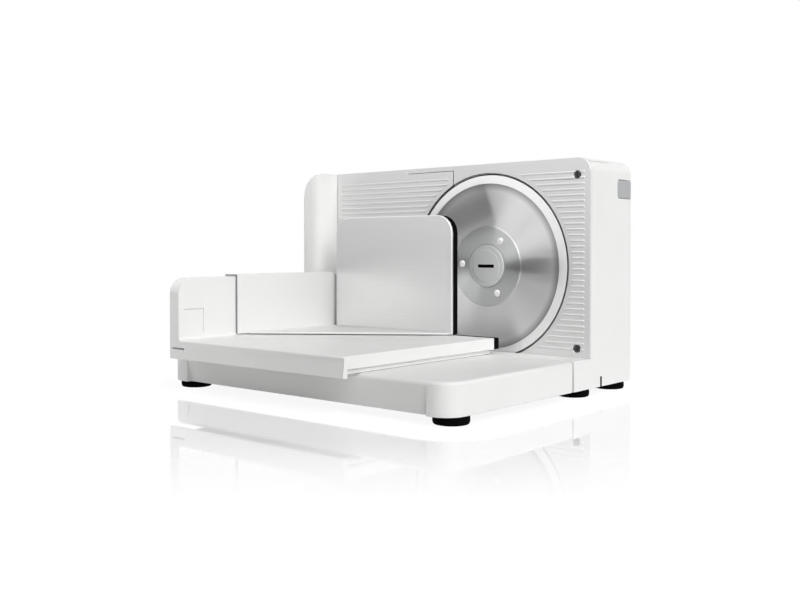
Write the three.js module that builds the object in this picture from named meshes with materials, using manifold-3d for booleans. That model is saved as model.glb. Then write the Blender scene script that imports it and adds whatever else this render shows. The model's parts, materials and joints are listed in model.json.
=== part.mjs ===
// A folding household food slicer: casing with ribbed panel, round blade and gear train,
// sliding stop plate, hinged base, food carriage and remnant holder.
// Millimetres, +Z up. While it is modelled, X = 0 is the casing's right side, Y = 0 the plane
// of the ribbed panel (food side at -Y) and Z = 0 the top of the base.

import * as THREE from 'three';
import { mergeVertices } from 'three/addons/utils/BufferGeometryUtils.js';
import Module from 'manifold-3d';

const wasm = await Module();
wasm.setup();

// Fits and moulding
const GAP = 0.3; // between pieces that touch
const RUNNING = 0.3; // radial play of turning and sliding pieces
const OVER = 1; // how far a cutting tool passes the face that it cuts
const WALL = 3; // moulded walls
const ROUND_STEPS = 48; // sides of a large round piece
const SMALL_STEPS = 12; // sides of a small round piece
const MIDDLE_STEPS = 20; // sides of a middling round piece
const LOCK_STEPS = 32; // sides of the blade's lock and axle
const BLADE_STEPS = 64; // sides of the blade
const CORNER_STEPS = 5; // sides of a rounded corner
const EDGE_STEPS = 3; // sides of a rounded edge
const SAME_POINT = 1e-4; // points closer than this are one

// Casing
const CASING_WIDTH = 327;
const CASING_DEPTH = 79;
const CASING_DROP = 26; // below the top of the base
const CASING_LEFT_RADIUS = 25;
const CASING_RIGHT_RADIUS = 12;
const CASING_REAR_RADIUS = 5;
const COLUMN_WIDTH = 24;
const COLUMN_DEPTH = 29;
const COLUMN_FRONT_RADIUS = 5;
const COLUMN_INNER_RADIUS = 9; // upright edge beside the stop plate
const LEDGE_DEPTH = 27.6;
const SIDE_NOTCH_BACK = 18;
const SIDE_NOTCH_WIDTH = 3;
const SIDE_NOTCH_HEIGHT = 9;
const SIDE_NOTCH_DEPTH = 1.2;
const COVER_THICKNESS = 3;
const COVER_BOSS = 12;
const COVER_BOSS_HEIGHT = 24;

// Feet
const FOOT_HEIGHT = 6.8;
const FOOT_RADIUS = 14;
const FOOT_TAPER = 1.5;
const FOOT_STEM_RADIUS = 3;
const FOOT_STEM_LENGTH = 6;
const FOOT_INSET = 14.5;
const FOOT_FRONT_BACK = -4;
const FOOT_REAR_BACK = 60.5;

// Ribbed panel and stop plate
const PANEL_THICKNESS = 2.5;
const PANEL_SPLIT = 148; // vertical joint with the stop plate, from the right side
const PANEL_STRIP_HEIGHT = 4.6;
const PANEL_STRIP_END = 204; // left end of the strip over the stop plate
const RIB_PITCH = 5;
const RIB_HEIGHT = 0.6;
const RIB_FOOT = 2.4;
const RIB_CREST = 1.2;
const RIB_MARGIN = 6; // plain border round the ribs
const RIB_BLADE_MARGIN = 4; // plain border along the blade's circle
const GAUGE_THICKNESS = 2;
const GAUGE_TRAVEL = 15;
const GAUGE_EDGE_GAP = 0.4;
const GAUGE_FOOT_GAP = 2;
const POCKET_SPARE = 2.5; // room behind the stop plate when it is fully open

// Panel screws
const SCREW_INSET = 13;
const SCREW_TOP_DROP = 15;
const SCREW_FOOT_RISE = 8;
const SCREW_HEAD_RADIUS = 3.1;
const SCREW_HEAD_THICKNESS = 1.8;
const SCREW_HEAD_EDGE = 0.6;
const SCREW_SHANK_RADIUS = 1.5;
const SCREW_LENGTH = 10;

// Blade, its lock and the gear train
const BLADE_RADIUS = 85;
const BLADE_SIDE = 23.3; // panel to the right of the blade
const BLADE_RIM = 10.9; // panel above the blade
const BLADE_SINK = 5.9; // blade below the top of the base
const BLADE_THICKNESS = 1.4;
const BLADE_BEVEL_WIDTH = 8;
const BLADE_EDGE = 0.3;
const BLADE_CLEARANCE = 1.7;
const BLADE_RECESS_DEPTH = 13.5;
const BLADE_DISH_RADIUS = 37;
const BLADE_DISH_HEIGHT = 0.6;
const BLADE_DISH_STEP = 1;
const LOCK_SEAT_GAP = 1;
const RIVET_CIRCLE = 28;
const RIVET_HEAD_RADIUS = 3.3;
const RIVET_HEAD_HEIGHT = 1;
const RIVET_CROWN_RADIUS = 2;
const RIVET_SHANK_RADIUS = 1.6;
const RIVET_TURN = 56; // degrees of the first rivet
const LOCK_RADIUS = 19.4;
const LOCK_HEIGHT = 1.4;
const LOCK_EDGE = 0.4;
const LOCK_RIM = 4.1;
const LOCK_SHANK_RADIUS = 8.5;
const LOCK_SLOT_LENGTH = 18;
const LOCK_SLOT_WIDTH = 3;
const LOCK_SLOT_DEPTH = 1.2;
const LOCK_KEY_LENGTH = 21;
const LOCK_KEY_WIDTH = 4;
const LOCK_KEY_THICKNESS = 3;
const AXLE_WALL = 3;
const AXLE_FLANGE = 5;
const AXLE_FLANGE_THICKNESS = 3;
const AXLE_TAIL = 10; // axle behind the recess floor
const GEAR_MODULE = 1.5;
const BLADE_TEETH = 48;
const PINION_TEETH = 12;
const GEAR_FACE = 8;
const SECOND_MODULE = 1.2;
const WHEEL_TEETH = 40;
const MOTOR_TEETH = 10;
const WHEEL_FACE = 6;
const BACKLASH = 0.3;
const PRESSURE_ANGLE = 25; // degrees
const TOOTH_ADDENDUM = 0.85;
const TOOTH_DEDENDUM = 1.15;
const IDLER_TURN = 20; // degrees, from the blade to the intermediate gear
const MOTOR_TURN = -70; // degrees, from the intermediate gear to the motor
const IDLER_PIN_RADIUS = 3;
const IDLER_HUB_RADIUS = 6.5;
const WHEEL_GAP = 2; // wheel to recess floor, and gear plate to wheel
const PLATE_THICKNESS = 2.5;
const PLATE_WIDTH = 64.8;
const PLATE_HEIGHT = 72;
const PLATE_POST_RADIUS = 3.5;
const MOTOR_RADIUS = 25;
const MOTOR_LENGTH = 38;
const MOTOR_BOSS_RADIUS = 8;
const MOTOR_SHAFT_RADIUS = 2.5;

// Thickness setting
const DIAL_FROM_RIGHT = 235;
const DIAL_UP = 90;
const DIAL_RADIUS = 25;
const DIAL_THICKNESS = 17;
const DIAL_LOBES = 24;
const DIAL_LOBE_DEPTH = 0.9;
const DIAL_TURN = 300; // degrees from closed to fully open
const SPINDLE_RADIUS = 6;
const SPINDLE_LENGTH = 48;
const THREAD_RADIUS = 2.2;
const THREAD_SINK = 1.2;
const THREAD_STEPS = 28;
const THREAD_SIDES = 6;
const THREAD_REACH = 20; // degrees past both ends of the travel
const CARRIER_WIDTH = 56;
const CARRIER_HEIGHT = 66;
const CARRIER_DEPTH = 40;
const CARRIER_BORE = 11;
const CARRIER_FACE = 4;
const CARRIER_WINDOW_GAP = 2;
const FORK_WIDTH = 3;
const FORK_THICKNESS = 3;
const FORK_GAP = 7.6;
const ROD_RADIUS = 3;
const ROD_SPREAD_X = 18;
const ROD_SPREAD_Z = 24;

// Power button and mains inlet
const BUTTON_DEPTH = 29;
const BUTTON_HEIGHT = 16.4;
const BUTTON_DROP = 25.7; // middle of the button below the casing's top
const BUTTON_THICKNESS = 9;
const BUTTON_TRAVEL = 2.5;
const BUTTON_CORNER = 3;
const SWITCH_WIDTH = 17;
const SWITCH_DEPTH = 18;
const SWITCH_HEIGHT = 15;
const SWITCH_HANGER = 6;
const INLET_FROM_RIGHT = 40;
const INLET_UP = 8;
const INLET_RADIUS = 7;
const INLET_BORE = 3.6;
const INLET_FLANGE = 3;
const INLET_FLANGE_THICKNESS = 2;
const INLET_FLANGE_EDGE = 1;

// Hinged base
const SEAM = 2;
const BASE_DEPTH = 170;
const BASE_CORNER = 18;
const BASE_EDGE = 3;
const BASE_POST_LEFT = 26; // plain corner at the left end of the front
const BASE_POST_RIGHT = 22.6; // plain corner at the right end
const BASE_LIP = 4; // upright band under the top edge of the front
const BASE_SETBACK = 5; // how far the front leans back to its foot
const HINGE_RADIUS = 3;
const HINGE_PIN_RADIUS = 1.6;
const HINGE_LUG_WIDTH = 10;
const HINGE_PIN_LENGTH = 24;
const HINGE_LEFT_INSET = 64;
const HINGE_RIGHT_INSET = 120;
const BASE_FOOT_BACK = 20;

// Carriage
const TRAY_WIDTH = 213.5;
const TRAY_TOP = 14.5;
const TRAY_SKIRT_FOOT = 4.2;
const TRAY_SIDE_GAP = 5.5;
const APRON_THICKNESS = 5;
const APRON_REACH = 16.4; // apron in front of the base
const APRON_DROP = 2.5;
const APRON_FOOT_RADIUS = 1;
const APRON_TOP_RADIUS = 2;
const APRON_SLOT_LENGTH = 17;
const APRON_SLOT_INSET = 3.5;
const APRON_SLOT_UP = 6;
const APRON_SLOT_HEIGHT = 1.7;
const WALL_THICKNESS = 13.5;
const WALL_TOP = 69.5;
const WALL_CORNER = 14;
const WALL_REAR_RADIUS = 2;
const WALL_SKIN = 2.5;
const WALL_REAR_GAP = 11; // wall's end in front of the tray's rear edge
const LATCH_FRONT = 5.5;
const LATCH_LENGTH = 22;
const LATCH_TOP = 41.5;
const LATCH_FOOT = 20;
const LATCH_GROOVE = 1.2;
const STRIP_DEPTH = 7.5;
const STRIP_CLEAR = 15.6; // dark strip in front of the ribbed panel
const GLIDE_WIDTH = 12;
const CARRIAGE_TRAVEL = 150;
const RUNNER_LENGTH = 56;
const RUNNER_NECK = 12;
const RUNNER_FLANGE = 4;
const RUNNER_FROM_SEAM = 92;

// Remnant holder
const HOLDER_LENGTH = 127.8;
const HOLDER_REAR_GAP = 29;
const HOLDER_SIDE = 2.7;
const HOLDER_OUTER = 0.9;
const HOLDER_ROOF = 1.7;
const HOLDER_OUTER_DROP = 30;
const HOLDER_FOOT_GAP = 1.5;
const PRESS_WIDTH = 148.5;
const PRESS_TOP = 127;
const PRESS_THICKNESS = 2.7;
const PRESS_SET = 5.3; // from the holder's side to the pressing plate
const PRESS_BACK = 1; // pressing plate's face in front of the saddle's end
const PRESS_CORNER = 17;
const PRESS_FOOT_GAP = 0.9;
const BACKING_THICKNESS = 7;
const BACKING_INSET = 0.2;
const BACKING_ARM = 3; // thickness of the arm that joins the backing to the saddle
const WEB_LENGTH = 113;
const WEB_WIDTH = 152;
const WEB_THICKNESS = 1.8;

// Places that several pieces share

const coverScrewBack = (FOOT_FRONT_BACK + FOOT_REAR_BACK) / 2;
const casingLeft = -CASING_WIDTH;
const columnRight = casingLeft + COLUMN_WIDTH;
const casingFloor = -CASING_DROP;
const floor = casingFloor - FOOT_HEIGHT;
const casingFront = PANEL_THICKNESS + GAP;
const casingRear = CASING_DEPTH;
const bladeX = -BLADE_RADIUS - BLADE_SIDE;
const bladeZ = BLADE_RADIUS - BLADE_SINK;
const casingTop = bladeZ + BLADE_RADIUS + BLADE_RIM;
const recessRadius = BLADE_RADIUS + BLADE_CLEARANCE;
const recessFloor = BLADE_RECESS_DEPTH + WALL;
const pocketDepth = GAUGE_THICKNESS + GAUGE_TRAVEL + POCKET_SPARE;
const baseRear = -LEDGE_DEPTH - SEAM;
const baseFront = baseRear - BASE_DEPTH;
const baseLeft = casingLeft;
const apronRear = baseFront - APRON_REACH;
const apronFront = apronRear - APRON_THICKNESS;
const trayLeft = columnRight + TRAY_SIDE_GAP;
const trayRight = trayLeft + TRAY_WIDTH;
const trayRear = -STRIP_CLEAR - STRIP_DEPTH - GAP;
const dialRear = casingRear + GAP + DIAL_THICKNESS;

const WHITE = '#f2f2f1';
const SILVER = '#c9cacb';
const whitePlastic = new THREE.MeshStandardMaterial({ color: WHITE, roughness: 0.35, metalness: 0 });
const greyPlastic = new THREE.MeshStandardMaterial({ color: '#9b9da0', roughness: 0.45, metalness: 0 });
const blackPlastic = new THREE.MeshStandardMaterial({ color: '#151515', roughness: 0.5, metalness: 0 });
const gearPlastic = new THREE.MeshStandardMaterial({ color: '#d9d4c4', roughness: 0.5, metalness: 0 });
const silverPaint = new THREE.MeshStandardMaterial({ color: SILVER, roughness: 0.4, metalness: 0.3 });
const brushedSteel = new THREE.MeshStandardMaterial({ color: '#cfd0d2', roughness: 0.28, metalness: 1 });
const plainSteel = new THREE.MeshStandardMaterial({ color: '#8f9296', roughness: 0.35, metalness: 1 });
const blackRubber = new THREE.MeshStandardMaterial({ color: '#121212', roughness: 0.85, metalness: 0 });

// Solids from three.js geometry

function solid(geometry) {
  const bare = new THREE.BufferGeometry();
  bare.setAttribute('position', geometry.getAttribute('position'));
  if (geometry.index) bare.setIndex(geometry.index);
  const merged = mergeVertices(bare, SAME_POINT);
  const places = merged.getAttribute('position').array;
  const kept = [];
  for (let i = 0; i < merged.index.count; i += 3) {
    const [a, b, c] = merged.index.array.slice(i, i + 3);
    if (a !== b && b !== c && c !== a) kept.push([a, b, c]);
  }
  const corner = (index) => new THREE.Vector3().fromArray(places, 3 * index);
  const volume = kept.reduce(
    (sum, [a, b, c]) => sum + corner(a).dot(corner(b).cross(corner(c))), 0);
  const turned = volume < 0 ? kept.map(([a, b, c]) => [a, c, b]) : kept;
  return new wasm.Manifold(new wasm.Mesh({
    numProp: 3,
    vertProperties: Float32Array.from(places),
    triVerts: Uint32Array.from(turned.flat()),
  }));
}

function geometryOf(body) {
  const mesh = body.getMesh();
  const geometry = new THREE.BufferGeometry();
  geometry.setAttribute('position', new THREE.Float32BufferAttribute(mesh.vertProperties, 3));
  geometry.setIndex(new THREE.Uint32BufferAttribute(mesh.triVerts, 1));
  return geometry;
}

const join = (first, ...others) => others.reduce((sum, body) => sum.add(body), first);
const cut = (first, ...tools) => tools.reduce((rest, tool) => rest.subtract(tool), first);

function box([x0, y0, z0], [x1, y1, z1]) {
  const geometry = new THREE.BoxGeometry(x1 - x0, y1 - y0, z1 - z0);
  return solid(geometry.translate((x0 + x1) / 2, (y0 + y1) / 2, (z0 + z1) / 2));
}

const degrees = (angle) => THREE.MathUtils.degToRad(angle);

// Points of an arc from one angle to another, both in degrees.
function arc(centreX, centreY, radius, from, to, steps) {
  return Array.from({ length: steps + 1 }, (_, step) => {
    const angle = degrees(from + ((to - from) * step) / steps);
    return [centreX + radius * Math.cos(angle), centreY + radius * Math.sin(angle)];
  });
}

// A rectangle whose four corners (low left, low right, top right, top left) have their own radii.
function roundedRectangle(x0, y0, x1, y1, radii) {
  const centres = [[x0, y0, 1, 1, 180], [x1, y0, -1, 1, 270], [x1, y1, -1, -1, 0], [x0, y1, 1, -1, 90]];
  return centres.flatMap(([x, y, sideX, sideY, start], index) => {
    const radius = radii[index];
    if (radius === 0) return [[x, y]];
    return arc(x + sideX * radius, y + sideY * radius, radius, start, start + 90, CORNER_STEPS);
  });
}

const outline = (points) => new THREE.Shape(points.map(([x, y]) => new THREE.Vector2(x, y)));

function extruded(points, depth, edge = 0, edgeSteps = EDGE_STEPS) {
  return new THREE.ExtrudeGeometry(outline(points), {
    depth: depth - 2 * edge,
    bevelEnabled: edge > 0,
    bevelSize: edge,
    bevelOffset: -edge,
    bevelThickness: edge,
    bevelSegments: edgeSteps,
  }).translate(0, 0, edge);
}

// Outline in X and Z, from y0 back to y1.
function alongY(points, y0, y1, edge = 0, edgeSteps = EDGE_STEPS) {
  return solid(extruded(points, y1 - y0, edge, edgeSteps).rotateX(Math.PI / 2).translate(0, y1, 0));
}

// Outline in Y and Z, from x0 right to x1.
function alongX(points, x0, x1, edge = 0) {
  const turn = new THREE.Matrix4().makeBasis(
    new THREE.Vector3(0, 1, 0), new THREE.Vector3(0, 0, 1), new THREE.Vector3(1, 0, 0));
  return solid(extruded(points, x1 - x0, edge).applyMatrix4(turn).translate(x0, 0, 0));
}

// Outline in X and Y, from z0 up to z1.
function alongZ(points, z0, z1, edge = 0) {
  return solid(extruded(points, z1 - z0, edge).translate(0, 0, z0));
}

function rodY(x, z, radius, y0, y1, steps = SMALL_STEPS) {
  return alongY(arc(x, z, radius, 0, 360 - 360 / steps, steps - 1), y0, y1);
}

function rodZ(x, y, radius, z0, z1, steps = SMALL_STEPS) {
  return alongZ(arc(x, y, radius, 0, 360 - 360 / steps, steps - 1), z0, z1);
}

function rodX(y, z, radius, x0, x1, steps = SMALL_STEPS) {
  return alongX(arc(y, z, radius, 0, 360 - 360 / steps, steps - 1), x0, x1);
}

// A turned piece: points of radius and height, about the Y axis.
function turned(points, steps) {
  return solid(new THREE.LatheGeometry(points.map(([r, y]) => new THREE.Vector2(r, y)), steps));
}

const slicer = new THREE.Group();

function piece(name, body, material, place = [0, 0, 0]) {
  const mesh = new THREE.Mesh(geometryOf(body), material);
  mesh.name = name;
  mesh.position.set(...place);
  slicer.add(mesh);
}

// Drive layout: blade, intermediate gear and motor stand on parallel axes.
const idlerDistance = (GEAR_MODULE * (BLADE_TEETH + PINION_TEETH)) / 2;
const idlerX = bladeX + idlerDistance * Math.cos(degrees(IDLER_TURN));
const idlerZ = bladeZ + idlerDistance * Math.sin(degrees(IDLER_TURN));
const motorDistance = (SECOND_MODULE * (WHEEL_TEETH + MOTOR_TEETH)) / 2;
const motorX = idlerX + motorDistance * Math.cos(degrees(MOTOR_TURN));
const motorZ = idlerZ + motorDistance * Math.sin(degrees(MOTOR_TURN));
const pinionTip = GEAR_MODULE * (PINION_TEETH / 2 + TOOTH_ADDENDUM);
const bladeGearFront = BLADE_THICKNESS + GAP;
const bladeGearRear = bladeGearFront + GEAR_FACE;
const wheelFront = recessFloor + WHEEL_GAP;
const wheelRear = wheelFront + WHEEL_FACE;
const plateFront = wheelRear + WHEEL_GAP;
const plateRear = plateFront + PLATE_THICKNESS;
const motorFront = plateRear + GAP;
const axleBore = LOCK_SHANK_RADIUS + RUNNING;
const axleRadius = axleBore + AXLE_WALL;
const axleRear = recessFloor + AXLE_TAIL;

const dialX = -DIAL_FROM_RIGHT;
const rodPlaces = [
  [dialX - ROD_SPREAD_X, DIAL_UP + ROD_SPREAD_Z],
  [dialX + ROD_SPREAD_X, DIAL_UP - ROD_SPREAD_Z],
];
const inletX = -INLET_FROM_RIGHT;
const buttonFront = casingRear - BUTTON_DEPTH;
const buttonZ = casingTop - BUTTON_DROP;
const buttonLow = buttonZ - BUTTON_HEIGHT / 2;
const buttonHigh = buttonZ + BUTTON_HEIGHT / 2;
const screwHeights = { upper: casingTop - SCREW_TOP_DROP, lower: SCREW_FOOT_RISE };
const coverBosses = { left: casingLeft + WALL, right: -WALL - COVER_BOSS };
const hingeY = baseRear - HINGE_RADIUS;
const hingeZ = -HINGE_RADIUS;
const hingePlaces = { left: baseLeft + HINGE_LEFT_INSET, right: -HINGE_RIGHT_INSET };

// Casing: an outer shell with column, ledge and hinge lugs, and a chassis inside its front
// with the blade's recess and the stop plate's pocket

const casingOutline = roundedRectangle(casingLeft, casingFloor, 0, casingTop,
  [0, 0, CASING_RIGHT_RADIUS, CASING_LEFT_RADIUS]);

function hingeLug(x) {
  const bar = box([x, hingeY, 2 * hingeZ], [x + HINGE_LUG_WIDTH, -LEDGE_DEPTH + OVER, 0]);
  const eye = rodX(hingeY, hingeZ, HINGE_RADIUS, x, x + HINGE_LUG_WIDTH);
  const bore = rodX(hingeY, hingeZ, HINGE_PIN_RADIUS + GAP, x - OVER, x + HINGE_LUG_WIDTH + OVER);
  return join(bar, eye).subtract(bore);
}

function casing() {
  const farBelow = casingFloor - OVER;
  const rounded = alongY(casingOutline, -CASING_REAR_RADIUS, casingRear, CASING_REAR_RADIUS);
  const block = rounded.intersect(
    box([casingLeft - OVER, casingFront, farBelow], [OVER, casingRear + OVER, casingTop + OVER]));
  const columnBar = alongY(casingOutline, -COLUMN_DEPTH, casingRear / 2, COLUMN_FRONT_RADIUS);
  const columnSide = alongZ(roundedRectangle(casingLeft - OVER, -COLUMN_DEPTH, columnRight,
    casingRear / 3, [0, COLUMN_INNER_RADIUS, 0, 0]), farBelow, casingTop + OVER);
  const column = columnBar.intersect(columnSide);
  const ledge = box([columnRight - OVER, -LEDGE_DEPTH, casingFloor], [0, casingFront + OVER, 0]);
  const cup = rodY(bladeX, bladeZ, recessRadius + WALL, -WALL - BLADE_THICKNESS, recessFloor,
    ROUND_STEPS);
  const pocketShell = box([columnRight - WALL, 0, -WALL],
    [-PANEL_SPLIT + WALL, pocketDepth + WALL, casingTop]);
  const chamberOutline = roundedRectangle(casingLeft + WALL, farBelow, -WALL, casingTop - WALL,
    [0, 0, CASING_RIGHT_RADIUS - WALL, CASING_LEFT_RADIUS - WALL]);
  const chamber = alongY(chamberOutline, casingFront + WALL, casingRear - WALL);
  const ledgeHollow = box([casingLeft + WALL, -LEDGE_DEPTH + WALL, farBelow],
    [-WALL, casingFront + 2 * WALL, -WALL]);
  const columnHollow = box([casingLeft + WALL, -COLUMN_DEPTH + 2 * WALL, farBelow],
    [columnRight - WALL, casingFront + 2 * WALL, casingTop - CASING_LEFT_RADIUS]);
  const hollow = cut(join(chamber, ledgeHollow, columnHollow), cup, pocketShell);

  const recess = rodY(bladeX, bladeZ, recessRadius, -2 * BLADE_THICKNESS, BLADE_RECESS_DEPTH,
    ROUND_STEPS);
  const pocket = box([columnRight, -OVER, 0],
    [-PANEL_SPLIT, pocketDepth, casingTop - PANEL_STRIP_HEIGHT]);
  const pocketMouth = box([columnRight, -OVER, 0],
    [-PANEL_STRIP_END, pocketDepth, casingTop + OVER]);
  const halfWindowX = CARRIER_WIDTH / 2 + CARRIER_WINDOW_GAP;
  const halfWindowZ = CARRIER_HEIGHT / 2 + CARRIER_WINDOW_GAP;
  const carrierWindow = box([dialX - halfWindowX, 0, DIAL_UP - halfWindowZ],
    [dialX + halfWindowX, pocketDepth + WALL + OVER, DIAL_UP + halfWindowZ]);
  const axleHole = rodY(bladeX, bladeZ, axleRadius + GAP, 0, recessFloor + OVER, LOCK_STEPS);
  const pinionHole = rodY(idlerX, idlerZ, pinionTip + 2 * RUNNING, 0, recessFloor + OVER, MIDDLE_STEPS);
  const spindleHole = rodY(dialX, DIAL_UP, SPINDLE_RADIUS + RUNNING, casingRear / 2, casingRear + OVER);
  const inletHole = rodY(inletX, INLET_UP, INLET_RADIUS + GAP, casingRear / 2, casingRear + OVER);
  const holeCorner = BUTTON_CORNER + GAP;
  const buttonHole = alongX(roundedRectangle(buttonFront - GAP, buttonLow - GAP, casingRear + OVER,
    buttonHigh + GAP, [holeCorner, 0, 0, holeCorner]), -BUTTON_THICKNESS - BUTTON_TRAVEL - GAP, OVER);
  const sideNotch = box([-SIDE_NOTCH_DEPTH, SIDE_NOTCH_BACK, farBelow],
    [OVER, SIDE_NOTCH_BACK + SIDE_NOTCH_WIDTH, casingFloor + SIDE_NOTCH_HEIGHT]);
  const screwHoles = Object.values(screwHeights).map((z) =>
    rodY(-SCREW_INSET, z, SCREW_SHANK_RADIUS + GAP, 0, casingFront + 2 * SCREW_LENGTH));
  return cut(join(block, column, ledge), hollow, recess, pocket, pocketMouth, carrierWindow,
    axleHole, pinionHole, spindleHole, inletHole, buttonHole, sideNotch, ...screwHoles);
}

// The room of the chassis inside the shell, less a margin on each side.
function chassisRoom(margin) {
  return box([columnRight + margin, 0, margin],
    [-WALL - margin, casingRear / 2, casingTop - WALL - margin]);
}

function outerShell() {
  const lugs = Object.values(hingePlaces).map(hingeLug);
  const bossFoot = casingFloor + COVER_THICKNESS + GAP;
  const bosses = Object.values(coverBosses).map((x) => cut(
    box([x - GAP, coverScrewBack - COVER_BOSS / 2, bossFoot],
      [x + COVER_BOSS + GAP, coverScrewBack + COVER_BOSS / 2, bossFoot + COVER_BOSS_HEIGHT]),
    rodZ(x + COVER_BOSS / 2, coverScrewBack, SCREW_SHANK_RADIUS + GAP,
      bossFoot - OVER, bossFoot + SCREW_LENGTH)));
  const rodSeats = rodPlaces.map(([x, z]) => cut(
    rodY(x, z, 2 * ROD_RADIUS, casingRear - 2 * WALL, casingRear - WALL + GAP),
    rodY(x, z, ROD_RADIUS + GAP, casingRear - 3 * WALL, casingRear - WALL)));
  return join(cut(casingBody, chassisRoom(0)), ...bosses, ...rodSeats, ...lugs);
}

const casingBody = casing();
piece('housing_shell', outerShell(), whitePlastic);
piece('chassis', casingBody.intersect(chassisRoom(GAP)), whitePlastic);

// Bottom cover with its screws, and the casing's four feet

const footPlaces = {
  housing_foot_front_left: [casingLeft + FOOT_INSET, FOOT_FRONT_BACK],
  housing_foot_front_right: [-FOOT_INSET, FOOT_FRONT_BACK],
  housing_foot_rear_left: [casingLeft + FOOT_INSET, FOOT_REAR_BACK],
  housing_foot_rear_right: [-FOOT_INSET, FOOT_REAR_BACK],
};

function bottomCover() {
  const inset = WALL + GAP;
  const plate = box([casingLeft + inset, -LEDGE_DEPTH + inset, casingFloor],
    [-inset, casingRear - inset, casingFloor + COVER_THICKNESS]);
  const footHoles = Object.values(footPlaces).map(([x, y]) =>
    rodZ(x, y, FOOT_STEM_RADIUS + GAP, casingFloor - OVER, casingFloor + COVER_THICKNESS + OVER));
  const screwHoles = Object.values(coverBosses).map((x) =>
    rodZ(x + COVER_BOSS / 2, coverScrewBack, SCREW_SHANK_RADIUS + GAP,
      casingFloor - OVER, casingFloor + COVER_THICKNESS + OVER));
  return cut(plate, ...footHoles, ...screwHoles);
}

piece('bottom_cover', bottomCover(), greyPlastic);

// A pressed-in rubber foot: a disc under the casing with a stem through its hole.
function foot() {
  const top = FOOT_HEIGHT - GAP;
  const stemTop = top + FOOT_STEM_LENGTH;
  return turned([[0, 0], [FOOT_RADIUS - FOOT_TAPER, 0], [FOOT_RADIUS, FOOT_TAPER], [FOOT_RADIUS, top],
    [FOOT_STEM_RADIUS, top], [FOOT_STEM_RADIUS, stemTop], [0, stemTop]], MIDDLE_STEPS)
    .rotate([90, 0, 0]);
}

const footBody = foot();
for (const [name, [x, y]] of Object.entries(footPlaces)) {
  piece(name, footBody, blackRubber, [x, y, floor]);
}

// A pan-head screw: head at the origin, shank along +Y.
function screw(length) {
  const crown = -SCREW_HEAD_THICKNESS;
  return turned([[0, crown], [SCREW_HEAD_RADIUS - SCREW_HEAD_EDGE, crown],
    [SCREW_HEAD_RADIUS, crown + SCREW_HEAD_EDGE], [SCREW_HEAD_RADIUS, 0], [SCREW_SHANK_RADIUS, 0],
    [SCREW_SHANK_RADIUS, length], [0, length]], SMALL_STEPS);
}

const screwBody = screw(SCREW_LENGTH);
for (const [side, x] of Object.entries(coverBosses)) {
  piece(`cover_screw_${side}`, screwBody.rotate([90, 0, 0]), plainSteel,
    [x + COVER_BOSS / 2, coverScrewBack, casingFloor - GAP]);
}

// Ribbed panel beside the blade, and its two screws

const panelArcRadius = recessRadius + GAP;

// Raised ribs inside a plain border, kept clear of the blade's circle.
function ribs(x0, x1, z0, z1, front) {
  const profile = [[front + GAP, -RIB_FOOT / 2], [front + GAP, RIB_FOOT / 2], [front, RIB_FOOT / 2],
    [front - RIB_HEIGHT, RIB_CREST / 2], [front - RIB_HEIGHT, -RIB_CREST / 2], [front, -RIB_FOOT / 2]];
  const count = Math.floor((z1 - z0 - RIB_FOOT) / RIB_PITCH);
  const bars = Array.from({ length: count + 1 }, (_, row) => {
    const z = z0 + RIB_FOOT / 2 + row * RIB_PITCH;
    return alongX(profile.map(([y, rise]) => [y, z + rise]), x0, x1);
  });
  const border = rodY(bladeX, bladeZ, panelArcRadius + RIB_BLADE_MARGIN, front - 2 * RIB_HEIGHT,
    front + 2 * GAP, ROUND_STEPS);
  return cut(join(...bars), border);
}

const bladeOpening = rodY(bladeX, bladeZ, panelArcRadius, -OVER, casingFront + OVER, BLADE_STEPS);

function panel() {
  const splitX = -PANEL_SPLIT + GAUGE_EDGE_GAP;
  const stripLow = casingTop - PANEL_STRIP_HEIGHT;
  const edge = [
    [0, 0],
    ...arc(-CASING_RIGHT_RADIUS, casingTop - CASING_RIGHT_RADIUS, CASING_RIGHT_RADIUS, 0, 90,
      CORNER_STEPS),
    [-PANEL_STRIP_END, casingTop], [-PANEL_STRIP_END, stripLow], [splitX, stripLow],
    [splitX, bladeZ], [bladeX, bladeZ], [bladeX, 0],
  ];
  const ribTop = casingTop - PANEL_STRIP_HEIGHT - RIB_MARGIN;
  const plate = alongY(edge, 0, PANEL_THICKNESS);
  const raised = ribs(bladeX, -RIB_MARGIN, RIB_MARGIN, ribTop, 0);
  const screwPads = Object.values(screwHeights).map((z) =>
    rodY(-SCREW_INSET, z, SCREW_HEAD_RADIUS + 2 * GAP, -OVER - RIB_HEIGHT, PANEL_THICKNESS + OVER));
  return cut(join(plate, raised), bladeOpening, ...screwPads);
}

piece('front_panel', panel(), silverPaint);
for (const [end, z] of Object.entries(screwHeights)) {
  piece(`panel_screw_${end}`, screwBody, plainSteel, [-SCREW_INSET, casingFront - GAP, z]);
}

// Stop plate with its carrier: the plate slides back to set the slice thickness

function gaugePlate() {
  const left = columnRight + GAUGE_EDGE_GAP;
  const right = -PANEL_SPLIT - GAUGE_EDGE_GAP;
  const stepX = -PANEL_STRIP_END - GAUGE_EDGE_GAP;
  const stripLow = casingTop - PANEL_STRIP_HEIGHT - GAUGE_EDGE_GAP;
  const edge = [
    [left, GAUGE_FOOT_GAP], [left, casingTop], [stepX, casingTop], [stepX, stripLow],
    [right, stripLow], [right, GAUGE_FOOT_GAP],
  ];
  const ribTop = casingTop - PANEL_STRIP_HEIGHT - RIB_MARGIN;
  const raised = ribs(left + RIB_MARGIN, right - RIB_MARGIN, RIB_MARGIN, ribTop, 0);
  return cut(join(alongY(edge, 0, GAUGE_THICKNESS), raised), bladeOpening);
}

piece('gauge_plate', gaugePlate(), silverPaint);

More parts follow.
